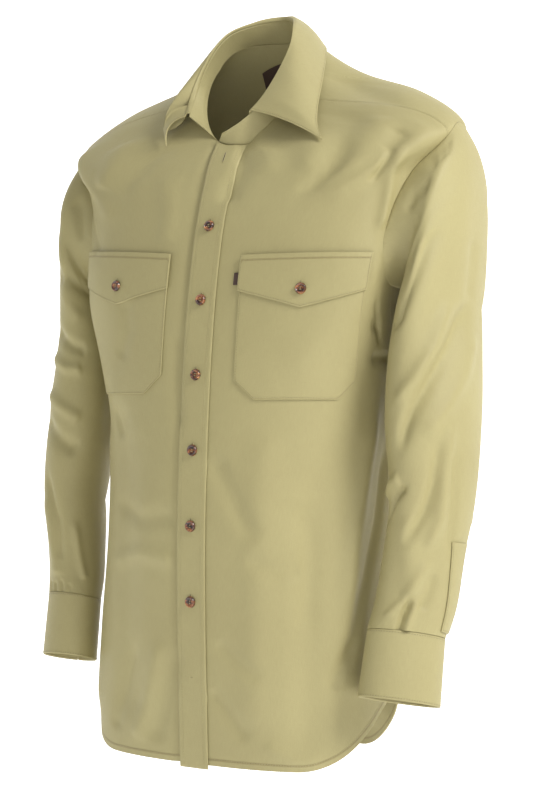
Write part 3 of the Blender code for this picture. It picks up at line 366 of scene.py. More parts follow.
# Folds of the right sleeve, in the same way and seen in a mirror
RIGHT_SLEEVE_FOLDS = (
    (0.018, 0.0030, ((70.0, 0.10), (96.0, 0.25), (120.0, 0.27))),
    (0.016, 0.0032, ((66.0, 0.72), (84.0, 0.86), (90.0, 0.94))),
    (0.018, -0.0030, ((176.0, 0.24), (186.0, 0.42), (182.0, 0.60))),
    (0.006, -0.0038, ((62.0, 0.035), (76.0, 0.025), (98.0, 0.025))),
    (0.011, -0.0043, ((62.0, 0.24), (114.0, 0.15), (134.0, 0.11))),
    (0.010, -0.0049, ((58.0, 0.36), (106.0, 0.365), (132.0, 0.36))),
    (0.009, 0.0038, ((56.0, 0.42), (100.0, 0.43), (128.0, 0.42))),
    (0.009, 0.0038, ((56.0, 0.50), (104.0, 0.53), (134.0, 0.55))),
    (0.010, -0.0051, ((54.0, 0.56), (104.0, 0.60), (138.0, 0.615))),
    (0.009, -0.0043, ((74.0, 0.665), (98.0, 0.785), (98.0, 0.885))),
    (0.008, 0.0035, ((134.0, 0.78), (142.0, 0.88), (152.0, 0.94))),
    (0.004, -0.0019, ((66.0, 0.955), (68.0, 0.985), (68.0, 1.02))),
    (0.004, -0.0022, ((84.0, 0.96), (85.0, 0.985), (84.0, 1.02))),
    (0.004, -0.0019, ((100.0, 0.95), (103.0, 0.98), (103.0, 1.02))),
    (0.004, -0.0016, ((120.0, 0.965), (121.0, 0.99), (120.0, 1.02))),
    (0.010, -0.0054, ((-20.0, 0.34), (-64.0, 0.40), (-100.0, 0.50))),
    (0.010, 0.0041, ((-50.0, 0.50), (-96.0, 0.55), (-130.0, 0.62))),
    (0.009, -0.0046, ((-70.0, 0.66), (-110.0, 0.68), (-150.0, 0.76))),
    (0.008, 0.0032, ((-30.0, 0.74), (-64.0, 0.80), (-90.0, 0.88))),
    (0.009, -0.0046, ((0.0, 0.44), (20.0, 0.50), (40.0, 0.54))),
)

# Rows of stitching: how far in from the edge each kind lies, and where the fall's start near the stand
STITCH_ON_HEM = 0.0070
STITCH_ON_PLACKET = 0.0050
STITCH_ON_EDGE = 0.0018
STITCH_ON_FLAP_TOP = 0.0060
STITCH_ON_LABEL = 0.0014
FALL_STITCH_START = 0.012

# Buttons: the steps of their surface, their four thread holes, and the two strands through these
BUTTON_RINGS = 30
BUTTON_TURNS = 48
HOLE_RADIUS = 0.00085
HOLE_PLACE = 0.00165
HOLE_DEPTH = 0.0011
STRAND_RADIUS = 0.00030
STRAND_FOOT = 0.00125
STRAND_RISE = 0.00055

# Buttonholes: a loop of overcast thread round a slit of painted shade (a dark lens), just over the cloth
BUTTONHOLE_LENGTH = 0.0150
BUTTONHOLE_WIDTH = 0.0024
BUTTONHOLE_SHIFT = 0.0012
BUTTONHOLE_LIFT = 0.00012
OVERCAST_RADIUS = 0.00042
OVERCAST_TURNS = 40
OVERCAST_STEPS = 96
OVERCAST_SIDES = 8
SLIT_HALF_WIDTH = 0.00042
SLIT_STEPS = 16
OPEN_BUTTONHOLE_Z = -0.109

# Thread end left on the placket: its height, the half sizes and height of its arc, and its radius
THREAD_END_Z = -0.671
THREAD_END_ARC = (0.0012, 0.0002, 0.0009)
THREAD_END_RADIUS = 0.0004

# Lights: name, azimuth from straight in front towards the wearer's left, height angle, distance, size and
# power in watts. All of them face the same point.
LIGHTS = (
    ("stage_key", 80.0, 36.0, 3.0, 1.2, 84.0),
    ("stage_front", 30.0, 14.0, 3.4, 1.6, 10.0),
    ("stage_top", 10.0, 76.0, 3.0, 2.0, 10.0),
    ("stage_side", -70.0, 20.0, 3.4, 2.0, 5.0),
)
AIM_Z = -0.35
WORLD_STRENGTH = 0.31

# Backdrop: a floor that bends up into a wall. How far it reaches to each side, towards the camera and up,
# the bend's radius, its steps, and the faint light of its own
BACKDROP_SIDE = 9.0
BACKDROP_FRONT = 8.0
BACKDROP_TOP = 7.0
BACKDROP_BEND = 1.2
BACKDROP_STEPS = 24
FLOOR_GLOW = 0.76


def nearest_on(points, across, along, across_size, along_size):
    """Distances from places on the cloth laid flat to the nearest of the straight lines between points,
    and how far along them that is, 0 to 1. Across is in degrees and goes round."""
    shape = np.broadcast(across, along).shape
    nearest, run = np.full(shape, 9.0), np.zeros(shape)
    for k, ((a1, b1), (a2, b2)) in enumerate(zip(points, points[1:])):
        dx = (across - a1 + 180.0) % 360.0 - 180.0
        dx, dy = dx * across_size, (along - b1) * along_size
        ex, ey = (a2 - a1) * across_size, (b2 - b1) * along_size
        t = np.clip((dx * ex + dy * ey) / (ex * ex + ey * ey), 0.0, 1.0)
        away = np.hypot(dx - t * ex, dy - t * ey)
        run = np.where(away < nearest, (k + t) / (len(points) - 1), run)
        nearest = np.minimum(away, nearest)
    return nearest, run


def fold_relief(folds, across, along, across_size, along_size, fades=True):
    """How far folds move a surface out: for each, height times exp(-(distance / half width)^2), and less
    towards both of its ends if it fades."""
    total = np.zeros(np.broadcast(across, along).shape)
    for half_width, height, points in folds:
        away, run = nearest_on(points, across, along, across_size, along_size)
        ends = smooth(0.25 + run / 0.20) * smooth(0.25 + (1 - run) / 0.20) if fades else 1.0
        total = total + height * ends * np.exp(-(away / half_width) ** 2)
    return total


def through(knots, rows, at):
    """The smooth curve through a table's rows: cubic Hermite pieces whose slope at each row is the
    weighted mean of the slopes on its two sides."""
    knots = np.asarray(knots, float)
    rows = np.asarray(rows, float)
    at = np.clip(np.asarray(at, float), knots[0], knots[-1])
    wide = (-1,) + (1,) * (rows.ndim - 1)
    step = np.diff(knots)
    rise = np.diff(rows, axis=0) / step.reshape(wide)
    before, after = step[:-1].reshape(wide), step[1:].reshape(wide)
    slope = np.empty_like(rows)
    slope[0], slope[-1] = rise[0], rise[-1]
    slope[1:-1] = (rise[:-1] * after + rise[1:] * before) / (before + after)
    k = np.clip(np.searchsorted(knots, at, side="right") - 1, 0, len(step) - 1)
    shape = at.shape + (1,) * (rows.ndim - 1)
    h = step[k].reshape(shape)
    t = ((at - knots[k]) / step[k]).reshape(shape)
    return ((2 * t**3 - 3 * t**2 + 1) * rows[k] + (t**3 - 2 * t**2 + t) * h * slope[k]
            + (3 * t**2 - 2 * t**3) * rows[k + 1] + (t**3 - t**2) * h * slope[k + 1])


def smooth(t):
    """0 below 0, 1 above 1 and a soft S between."""
    t = np.clip(t, 0.0, 1.0)
    return t * t * (3 - 2 * t)


def unit(vectors):
    """Vectors at length 1."""
    return vectors / np.maximum(np.linalg.norm(vectors, axis=-1, keepdims=True), 1e-12)


def torso(angle, level):
    """A point of the torso's form. Each ring is a superellipse about its widest line, and its height
    changes round it as a quadratic in the cosine of the angle, through front, side and back."""
    angle, level = np.broadcast_arrays(np.asarray(angle, float), np.asarray(level, float))
    row = np.moveaxis(through(TORSO[:, 0], TORSO[:, 1:], level), -1, 0)
    front_z, side_z, back_z, half_width, widest_y, front_y, back_y, squareness, lean = row
    c, s = np.cos(angle), np.sin(angle)
    r = (np.abs(c) ** squareness + np.abs(s) ** squareness) ** (-1 / squareness)
    x = half_width * r * s
    y = widest_y + np.where(c > 0, front_y - widest_y, widest_y - back_y) * r * c
    z = side_z + (front_z - back_z) / 2 * c + ((front_z + back_z) / 2 - side_z) * c * c - lean * x
    return np.stack([x, y, z], -1)


def level_at(angle, z):
    """The level where the torso's form has this height, found by halving."""
    angle, z = np.broadcast_arrays(np.asarray(angle, float), np.asarray(z, float))
    low, high = np.zeros(z.shape), np.ones(z.shape)
    for _ in range(26):
        middle = (low + high) / 2
        under = torso(angle, middle)[..., 2] < z
        low, high = np.where(under, middle, low), np.where(under, high, middle)
    return (low + high) / 2


def angle_at(x, level):
    """The angle near the centre front where the torso's form has this x."""
    x, level = np.broadcast_arrays(np.asarray(x, float), np.asarray(level, float))
    row = through(TORSO[:, 0], TORSO[:, 1:], level)
    share = (np.abs(x) / row[..., 3]) ** row[..., 7]
    return np.sign(x) * np.arctan((share / (1 - share)) ** (1 / row[..., 7]))


def form_normal(form, across, along, step=2e-3):
    """The outward normal of a form, from its slopes either way. Across runs anticlockwise seen from
    above and along runs up the torso, so their cross product points out."""
    low, high = np.clip(along - step, 0, 1), np.clip(along + step, 0, 1)
    around = form(across + step, along) - form(across - step, along)
    return unit(np.cross(around, form(across, high) - form(across, low)))


def draped_torso(angle, level):
    """The torso's form with its creases and folds."""
    form = torso(angle, level)
    place_on_cloth = np.degrees(angle), form[..., 2], math.radians(1) * TORSO_RADIUS, 1.0
    relief = fold_relief(TORSO_CREASES, *place_on_cloth, fades=False)
    relief = relief + fold_relief(TORSO_FOLDS, *place_on_cloth)
    return form + form_normal(torso, angle, level) * relief[..., None]


def on_torso(angle, level, height=0.0):
    """A point this far out from the draped torso, and the outward normal there."""
    angle, level = np.broadcast_arrays(np.asarray(angle, float), np.asarray(level, float))
    out = form_normal(draped_torso, angle, level)
    return draped_torso(angle, level) + out * np.asarray(height)[..., None], out


def hem_level(angle):
    """The hem's level: low at the front and back, and rising to the side seams in a soft S."""
    turned = np.abs((np.degrees(angle) + 180) % 360 - 180)
    start, top, end = HEM_ANGLES
    rise = np.where(turned < top, (turned - start) / (top - start), (end - turned) / (end - top))
    low = np.where(turned < top, HEM_FRONT_Z, HEM_BACK_Z)
    return level_at(angle, low + (HEM_SIDE_Z - low) * smooth(rise))


def armhole(turn):
    """The armhole's curve on the torso: turn is 0 at the shoulder, 90 in front and 180 under the arm."""
    t = np.radians(turn)
    width = np.where(np.sin(t) > 0, ARMHOLE_FRONT_WIDTH, ARMHOLE_BACK_WIDTH)
    angle = np.radians(90 - width * np.sin(t))
    return np.stack([angle, ARMHOLE_MIDDLE + ARMHOLE_HALF_HEIGHT * np.cos(t)], -1)


def line(start, end, steps):
    """Evenly spaced points from start to end."""
    return np.asarray(start) + (np.asarray(end) - np.asarray(start)) * np.linspace(0, 1, steps + 1)[:, None]


def join(*edges):
    """Edges that meet end to end, as one."""
    return np.concatenate([edge[:-1] for edge in edges[:-1]] + [edges[-1]])


def patch(bottom, top, left, right):
    """The grid between four edges: the two ruled surfaces less the one through the corners (Coons)."""
    u = np.linspace(0, 1, len(bottom))[:, None, None]
    v = np.linspace(0, 1, len(left))[None, :, None]
    ruled = (1 - v) * bottom[:, None] + v * top[:, None] + (1 - u) * left[None] + u * right[None]
    corners = ((1 - u) * (1 - v) * bottom[0] + u * (1 - v) * bottom[-1]
               + (1 - u) * v * top[0] + u * v * top[-1])
    return ruled - corners


def mirrored(edge):
    """An edge of the torso seen in a mirror through its middle plane."""
    return np.stack([2 * math.pi - edge[:, 0], edge[:, 1]], -1)


def side_edge(turn_end):
    """The side seam from the hem to under the arm, then the armhole as far as turn_end."""
    quarter = math.pi / 2
    low = [quarter, float(hem_level(np.array(quarter)))]
    seam = line(low, armhole(180.0), SIDE_STEPS)
    return join(seam, armhole(np.linspace(180.0, turn_end, ARMHOLE_STEPS + 1)))


def front_yoke_seam():
    """From the neckline to the armhole, over the front of the shoulder."""
    return line([math.radians(YOKE_NECK_ANGLE), 1.0], armhole(YOKE_FRONT_TURN), SHOULDER_STEPS)


def back_yoke_seam():
    """Across the back between the armholes, a little higher in the middle."""
    start = armhole(YOKE_BACK_TURN)
    angle = np.linspace(start[0], 2 * math.pi - start[0], BACK_STEPS + 1)
    lift = (YOKE_BACK_LEVEL - start[1]) * np.sin(np.linspace(0, math.pi, BACK_STEPS + 1))
    return np.stack([angle, start[1] + lift], -1)


def front_plan():
    """A front's grid of angle and level, its free edge first, for the wearer's left."""
    rows = SIDE_STEPS + ARMHOLE_STEPS
    x = front_columns()
    edge_angle = np.arctan(x / TORSO[0, 4])
    edges = []
    for k in range(len(x)):
        level = np.linspace(float(hem_level(edge_angle[k])), 1.0, rows + 1)
        edges.append(np.stack([angle_at(x[k], level), level], -1))
    neck = line(edges[-1][-1], [math.radians(YOKE_NECK_ANGLE), 1.0], NECK_STEPS)
    hem_angle = np.linspace(edges[-1][0, 0], math.pi / 2, NECK_STEPS + SHOULDER_STEPS + 1)
    hem = np.stack([hem_angle, hem_level(hem_angle)], -1)
    body = patch(hem, join(neck, front_yoke_seam()), edges[-1], side_edge(YOKE_FRONT_TURN))
    return np.concatenate([np.stack(edges[:-1]), body])


def back_plan():
    """The back's grid of angle and level, from the wearer's left side seam to the right one."""
    left = side_edge(YOKE_BACK_TURN)
    hem_angle = np.linspace(math.pi / 2, 3 * math.pi / 2, BACK_STEPS + 1)
    hem = np.stack([hem_angle, hem_level(hem_angle)], -1)
    return patch(hem, back_yoke_seam(), left, mirrored(left))


def yoke_plan():
    """The yoke's grid, from the left front seam round the back to the right one, neckline first."""
    cap = armhole(np.linspace(YOKE_FRONT_TURN, YOKE_BACK_TURN - 360, CAP_STEPS + 1))
    outer = join(cap, back_yoke_seam(), mirrored(cap)[::-1])
    start = math.radians(YOKE_NECK_ANGLE)
    neck = line([start, 1.0], [2 * math.pi - start, 1.0], len(outer) - 1)
    seam = front_yoke_seam()
    return patch(neck, outer, seam, mirrored(seam))


def sleeve_ring(row, turn, side=1):
    """A ring of a sleeve's table: an ellipse from its outer, front, inner and back points."""
    t = np.radians(turn)[:, None]
    outer, inner = np.array(row[1:4]), np.array(row[4:7])
    front = np.array([0.0, -row[7] if side > 0 else -row[9], row[8]])
    return (outer + inner) / 2 + np.cos(t) * (outer - inner) / 2 + np.sin(t) * front


def ring_turns():
    """The sleeve's columns, the same as the armhole points of the front, the back and the yoke."""
    front = np.linspace(YOKE_FRONT_TURN, 180.0, ARMHOLE_STEPS + 1)
    back = np.linspace(180.0, YOKE_BACK_TURN, ARMHOLE_STEPS + 1)
    cap = np.linspace(YOKE_BACK_TURN, YOKE_FRONT_TURN + 360, CAP_STEPS + 1)
    return np.concatenate([front[:-1], back[:-1], cap[:-1]])


def sleeve_form(turns, shares, side):
    """A sleeve's grid of points, turns by shares: its armhole and the table's rings joined lengthwise by
    smooth curves. side is 1 for the left; for the right, -1, everything is seen in a mirror."""
    hole = armhole(turns)
    rows = [draped_torso(side * hole[:, 0], hole[:, 1]) * [side, 1, 1]]
    rows += [sleeve_ring(row, turns, side) for row in SLEEVE]
    knots = [0.0] + [row[0] for row in SLEEVE]
    return np.moveaxis(through(knots, np.array(rows), shares), 0, 1)


def grid_normals(points, closed, inside):
    """Outward normals of a grid of points from its neighbours, turned away from the inside points."""
    if closed:
        across = np.roll(points, -1, 0) - np.roll(points, 1, 0)
    else:
        across = np.gradient(points, axis=0)
    out = unit(np.cross(across, np.gradient(points, axis=1)))
    return out if ((points - inside) * out).sum() > 0 else -out


def draped_sleeve(turns, shares, side):
    """A sleeve, the right one in a mirror, with its folds, which fade at the armhole, and its normals,
    which at the armhole are midway between its own and the torso's."""
    points = sleeve_form(turns, shares, side)
    normals = grid_normals(points, True, points.mean(0, keepdims=True))
    folds = LEFT_SLEEVE_FOLDS if side > 0 else RIGHT_SLEEVE_FOLDS
    relief = fold_relief(folds, turns[:, None], shares[None, :],
                         math.radians(1) * SLEEVE_RADIUS, SLEEVE_LENGTH)
    points = points + normals * (relief * smooth(shares / 0.03))[..., None]
    hole = armhole(turns)
    seam = (form_normal(draped_torso, side * hole[:, 0], hole[:, 1]) * [side, 1, 1])[:, None]
    share = 0.5 * smooth(1 - shares / 0.04)[None, :, None]
    return points, unit(normals * (1 - share) + seam * share)


def armhole_turned(points, normals, ring, ring_normals):
    """A panel's normals, with those on the armhole taken from the sleeve's first ring."""
    away = np.linalg.norm(points[:, :, None] - ring, axis=-1)
    nearest, on_seam = away.argmin(-1), away.min(-1) < 1e-6
    return np.where(on_seam[..., None], ring_normals[nearest], normals)


def neck_angles():
    """The angles round the neckline where the fronts, the yoke and the collar stand all have a point."""
    edge = angle_at(front_columns(), 1.0)
    start = math.radians(YOKE_NECK_ANGLE)
    front = np.linspace(edge[-1], start, NECK_STEPS + 1)
    back = np.linspace(start, 2 * math.pi - start, 2 * CAP_STEPS + BACK_STEPS + 1)
    return np.concatenate([edge[:-1], front[:-1], back[:-1], 2 * math.pi - front[::-1]])


def stand_top(angles):
    """The collar stand's upper edge, the smooth curve through its table."""
    return through(np.radians(STAND[:, 0]), STAND[:, 1:], angles)


def stand_grid(angles, steps):
    """The stand's outer face and normals: straight from the neckline to its upper edge."""
    foot, seam = on_torso(angles, 1.0)
    top = stand_top(angles)
    rise = unit(top - foot)
    share = np.linspace(0, 1, steps + 1)[None, :, None]
    points = (foot + rise * SEAM_GAP)[:, None] * (1 - share) + top[:, None] * share
    normals = grid_normals(points, False, NECK_MIDDLE)
    lean = smooth(1 - 2 * share)
    return points, unit(normals * (1 - lean) + seam[:, None] * lean)


def fall_grid(angles, steps):
    """The fall's showing face and normals. Each section starts on the stand's upper edge, rolls over by
    ROLL and runs down to the lower edge, standing out from a straight line by its bulge."""
    row = through(np.radians(FALL[:, 0]), FALL[:, 1:], angles)
    edge, bulge = row[:, :3], row[:, 3:]
    foot = draped_torso(angles, np.ones(len(angles)))
    top = stand_top(angles)
    up = unit(top - foot)
    out = edge - top
    out = unit(out - (out * up).sum(-1, keepdims=True) * up)
    sections = [top + up * (rise * ROLL) + out * (away * ROLL) for rise, away in ROLL_SECTION]
    start = sections[-1]
    down = edge - start
    side = unit(out - (out * down).sum(-1, keepdims=True) * down / (down * down).sum(-1, keepdims=True))
    for share in np.linspace(0, 1, steps + 1)[1:]:
        sections.append(start + down * share + side * bulge * (4 * share * (1 - share)))
    points = np.stack(sections, 1)
    inside = (top + out * ROLL)[:, None]
    return points, grid_normals(points, False, inside)


def pocket_angles(z, share, inset=0.0):
    """Angles across a pocket at this height, share 0 at its inner edge and 1 at its outer one, with
    both edges moved in by inset."""
    level = level_at(math.radians(POCKET_OUTER_ANGLE / 2), z)
    inner = angle_at(POCKET_INNER_X, level) + inset / POCKET_RADIUS
    outer = math.radians(POCKET_OUTER_ANGLE) - inset / POCKET_RADIUS
    return inner + (outer - inner) * share


def on_front(angle, z, side, lift):
    """A grid on a front, this far out from it, with the right front's rise, and its normals."""
    if side < 0:
        top = (z - POCKET_LOW_Z) / (FLAP_TOP_Z - POCKET_LOW_Z)
        z = z + RIGHT_RISE + RIGHT_TILT * top * (POCKET_RADIUS * np.sin(angle) - POCKET_INNER_X)
    return on_torso(side * angle, level_at(angle, z), lift)


def label_grid(columns, rows):
    """The neck label's place on the inside of the torso: a rectangle whose ends hang lower than its
    middle with the square of their distance, and the outward normals there."""
    x = np.linspace(1, -1, columns)[:, None] * LABEL_HALF_WIDTH
    z = LABEL_Z - LABEL_END_DROP * (x / LABEL_HALF_WIDTH) ** 2 + np.linspace(-0.5, 0.5, rows) * LABEL_HEIGHT
    level = np.full(z.shape, 0.97)
    for _ in range(4):
        angle = math.pi - angle_at(x, level)
        level = level_at(angle, z)
    return on_torso(angle, level, -(WALL + LABEL_LIFT))


def strip_grid(side, columns, rows):
    """The sleeve placket strip's place on a sleeve and its normals: each row is read from the sleeve's
    grid at turns that slant from the lower end to the upper one."""
    shares = np.linspace(*STRIP_SHARES, rows)
    step = 2.0
    points, out = draped_sleeve(np.arange(0.0, 360.0, step), shares, side)
    slant = STRIP_SLANT * np.linspace(1, 0, rows)
    place = ((np.linspace(*STRIP_TURNS, columns)[:, None] + slant) % 360) / step
    low = np.floor(place).astype(int)
    share, row = (place - low)[..., None], np.arange(rows)
    after = (low + 1) % len(points)
    points = points[low, row] * (1 - share) + points[after, row] * share
    out = out[low, row] * (1 - share) + out[after, row] * share
    return points, unit(out), shares


def pulled_in(points, closed):
    """The grid with each free edge moved in by half the gap of a seam."""
    moved = points.copy()
    ends = [(1, 0, 1), (1, -1, -2)] + ([] if closed else [(0, 0, 1), (0, -1, -2)])
    for axis, edge, inner in ends:
        here = points.take(edge, axis)
        step = unit(points.take(inner, axis) - here) * (SEAM_GAP / 2)
        index = [slice(None)] * 3
        index[axis] = edge
        moved[tuple(index)] += step
    return moved


def hung(points, shares, side):
    """The sleeve's points let down by the arm's drop, with the square of the share of its length."""
    drop = np.zeros(points.shape)
    drop[..., 2] = ARM_DROP[side] * np.asarray(shares) ** 2
    return points - drop


def front_columns():
    """The fronts' columns over the placket, from the free edge to just past it."""
    return np.linspace(-OVERLAP, UNDERLAP_EDGE, PLACKET_COLUMNS + 1)


def cuff_grid():
    """The left cuff's outer face and normals: a band between the sleeve's last ring and its own, whose
    ends overlap. The end underneath is drawn in by its wall and a gap, and both lower corners are cut."""
    start, end = CUFF_OPENING_TURN, CUFF_OPENING_TURN + 360 + CUFF_OVERLAP_TURN
    corner = math.degrees(CUFF_CORNER / CUFF_RADIUS)
    turns = np.concatenate([np.linspace(start, start + corner, CORNER_STEPS + 1)[:-1],
                            np.linspace(start + corner, end - corner, CUFF_STEPS + 1),
                            np.linspace(end - corner, end, CORNER_STEPS + 1)[1:]])
    share = np.linspace(0, 1, CUFF_ROWS + 1)[None, :, None]
    top, low = sleeve_ring(SLEEVE[-1], turns), sleeve_ring(CUFF_LOW, turns)
    top[:, 2] -= 1.5 * SEAM_GAP
    low[:, 2] += CUFF_CORNER * np.clip(1 - np.minimum(turns - start, end - turns) / corner, 0, 1)
    points = top[:, None] * (1 - share) + low[:, None] * share
    normals = grid_normals(points, False, points[1:-1].mean(0, keepdims=True))
    under = 1 - smooth((turns - start - CUFF_OVERLAP_TURN - 2) / CUFF_BLEND)
    points = points - normals * (under * (WALL + 3 * SEAM_GAP))[:, None, None]
    return points, normals


def pocket_plan():
    """The pocket's grid of angle and height, with both lower corners cut off."""
    share = np.linspace(0, 1, POCKET_COLUMNS + 1)[:, None]
    corner_z = POCKET_LOW_Z + POCKET_CORNER
    rows = np.concatenate([np.linspace(POCKET_LOW_Z, corner_z, POCKET_CORNER_ROWS + 1)[:-1],
                           np.linspace(corner_z, POCKET_TOP_Z, POCKET_ROWS + 1)])
    z = np.broadcast_to(rows, (len(share), len(rows)))
    return pocket_angles(z, share, np.clip(corner_z - z, 0.0, None)), z


def flap_plan():
    """The flap's grid: a level top and a lower edge that falls to a point near its middle."""
    share = np.sort(np.append(np.linspace(0, 1, POCKET_COLUMNS), FLAP_POINT_SHARE))[:, None]
    fall = np.minimum(share / FLAP_POINT_SHARE, (1 - share) / (1 - FLAP_POINT_SHARE))
    low = FLAP_CORNER_Z - FLAP_POINT * fall
    z = low + (FLAP_TOP_Z - low) * np.linspace(0, 1, FLAP_ROWS + 1)
    return pocket_angles(z, share, -FLAP_OVERHANG), z


def spans(points, axis):
    """Running lengths of a grid's lines along one axis, from its first point."""
    step = np.linalg.norm(np.diff(points, axis=axis), axis=-1)
    start = np.zeros_like(step.take([0], axis))
    return np.concatenate([start, np.cumsum(step, axis)], axis)


def edge_distances(points, closed):
    """Distance of each grid point from the first and last column and the first and last row."""
    across, up = spans(points, 0), spans(points, 1)
    far = np.full(across.shape, 1.0)
    first, last = (far, far) if closed else (across, across[-1:] - across)
    return {"first": first, "last": last, "low": up, "high": up[:, -1:] - up}


def rim_loops(columns, rows, closed):
    """The grid's border as loops of column and row numbers."""
    i, j = np.arange(columns), np.arange(rows)
    if closed:
        return [(i, np.zeros_like(i)), (i[::-1], np.full_like(i, rows - 1))]
    low, high = np.zeros_like(i[:-1]), np.full_like(i[:-1], rows - 1)
    first, last = np.zeros_like(j[:-1]), np.full_like(j[:-1], columns - 1)
    around = np.concatenate([i[:-1], last, i[:0:-1], first])
    return [(around, np.concatenate([low, j[:-1], high, j[:0:-1]]))]


def grid_faces(columns, rows, round_columns=False, round_rows=False):
    """The quads of a grid, whose last column or row meets the first one again if it goes round."""
    i = np.arange(columns if round_columns else columns - 1)[:, None]
    j = np.arange(rows if round_rows else rows - 1)[None, :]
    near, far, after = i * rows, (i + 1) % columns * rows, (j + 1) % rows
    return np.stack([near + j, far + j, far + after, near + after], -1).reshape(-1, 4)


def made_mesh(name, verts, faces, sharp_angle=None):
    """A smooth mesh with its faces turned outward, and creased where it bends by more than an angle."""
    mesh = bpy.data.meshes.new(name)
    mesh.from_pydata(verts.tolist(), [], faces)
    build = bmesh.new()
    build.from_mesh(mesh)
    bmesh.ops.recalc_face_normals(build, faces=build.faces)
    build.to_mesh(mesh)
    build.free()
    mesh.shade_smooth()
    if sharp_angle is not None:
        mesh.set_sharp_from_angle(angle=math.radians(sharp_angle))
    return mesh


def shell(outer, normals, wall, closed, roll):
    """Points and quads of a thin shell: the outer grid, the same grid one wall further in, and a rim bent
    out by roll times the wall. Also each point's place in the grid."""
    columns, rows = outer.shape[:2]
    inner = outer - normals * wall
    count = columns * rows
    face = grid_faces(columns, rows, closed)
    verts, quads = [outer.reshape(-1, 3), inner.reshape(-1, 3)], [face, face[:, ::-1] + count]
    source = [np.arange(count), np.arange(count)]
    total = 2 * count
    for around, up in rim_loops(columns, rows, closed):
        index = around * rows + up
        within = (around if closed else np.clip(around, 1, columns - 2)), np.clip(up, 1, rows - 2)
        away = unit(outer[around, up] - outer[within])
        verts.append((outer[around, up] + inner[around, up]) / 2 + away * (roll * wall))
        middle = total + np.arange(len(index))
        total += len(index)
        source.append(index)
        follow, after = np.roll(index, -1), np.roll(middle, -1)
        quads.append(np.stack([follow, index, middle, after], -1))
        quads.append(np.stack([after, middle, index + count, follow + count], -1))
    return np.concatenate(verts), np.concatenate(quads), np.concatenate(source)


def cloth_mesh(name, points, normals, wall, closed=False, stitched=None, roll=0.1):
    """A thin shell of cloth on a grid. stitched names the edges with a row of stitches and how far in it
    lies. The mesh carries its lengths in metres as the UV map, the distance from a stitched edge over
    that of its stitches, and the distance from any edge."""
    verts, quads, source = shell(pulled_in(points, closed), normals, wall, closed, roll)
    mesh = made_mesh(name, verts, quads.tolist(), 50.0)
    columns, rows = points.shape[:2]
    across, up = spans(points, 0), spans(points, 1)
    flat = np.stack([across - across[columns // 2], up - up[:, -1:]], -1).reshape(-1, 2)[source]
    corners = np.zeros(len(mesh.loops), dtype=np.int32)
    mesh.loops.foreach_get("vertex_index", corners)
    laid = flat[corners].reshape(-1, 4, 2)
    if closed:
        round_length = across[-1] + np.linalg.norm(points[0] - points[-1], axis=-1)
        column, row = np.divmod(source[corners].reshape(-1, 4), rows)
        wraps = (column == 0) & (column.max(1) == columns - 1)[:, None]
        laid[..., 0] += np.where(wraps, round_length[row], 0.0)
    layer = mesh.uv_layers.new(name="weave")
    layer.data.foreach_set("uv", laid.astype(np.float32).ravel())
    edges = edge_distances(points, closed)
    nearest = np.minimum.reduce(list(edges.values()))
    on_rows = np.full(nearest.shape, 9.0)
    for edge, inset in (stitched or {}).items():
        on_rows = np.minimum(on_rows, edges[edge] / inset)
    for label, values in (("stitched", on_rows), ("seam", nearest)):
        attribute = mesh.attributes.new(label, "FLOAT", "POINT")
        attribute.data.foreach_set("value", values.reshape(-1)[source].astype(np.float32))
    return mesh


def place(name, mesh, finish, slot, *nodes):
    """Puts a mesh into the scene as a piece that rides on the shirt and stands for its solids."""
    mesh.materials.append(bpy.data.materials[finish])
    piece = bpy.data.objects.new(name, mesh)
    bpy.context.scene.collection.objects.link(piece)
    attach(piece, "root")
    if nodes:
        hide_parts(*nodes)
    return piece


def cloth_piece(name, grid, wall, node, finish="Shirt Drill", slot="cotton_drill", **options):
    """A piece of cloth on a grid, which stands for one solid."""
    return place(name, cloth_mesh(name, *grid, wall, **options), finish, slot, node)


def inset_line(points, normals, edge, inset, trims=None):
    """A line on a grid at one distance from an edge, as points and normals. Along each crossing line the
    distance is divided by the sine of the angle it makes with the edge."""
    turned = {"low": lambda g: g, "high": lambda g: g[:, ::-1], "first": lambda g: g.transpose(1, 0, 2),
              "last": lambda g: g[::-1].transpose(1, 0, 2)}[edge]
    grid, out = turned(points), turned(normals)
    along, cross = np.gradient(grid[:, 0], axis=0), grid[:, 1] - grid[:, 0]
    size = np.linalg.norm(along, axis=-1) * np.linalg.norm(cross, axis=-1)
    sine = np.linalg.norm(np.cross(along, cross), axis=-1) / np.maximum(size, 1e-12)
    reach = inset / np.clip(sine, 0.6, 1.0)
    length = spans(grid, 1)
    k = np.clip((length < reach[:, None]).sum(1) - 1, 0, grid.shape[1] - 2)
    rows = np.arange(len(grid))
    share = (reach - length[rows, k]) / np.maximum(length[rows, k + 1] - length[rows, k], 1e-9)
    share = share[:, None]
    line_points = grid[rows, k] * (1 - share) + grid[rows, k + 1] * share
    line_normals = out[rows, k] * (1 - share) + out[rows, k + 1] * share
    first, last = (inset, inset) if trims is None else trims
    run = spans(line_points[None], 1)[0]
    keep = (run >= first) & (run <= run[-1] - last)
    return line_points[keep], line_normals[keep]


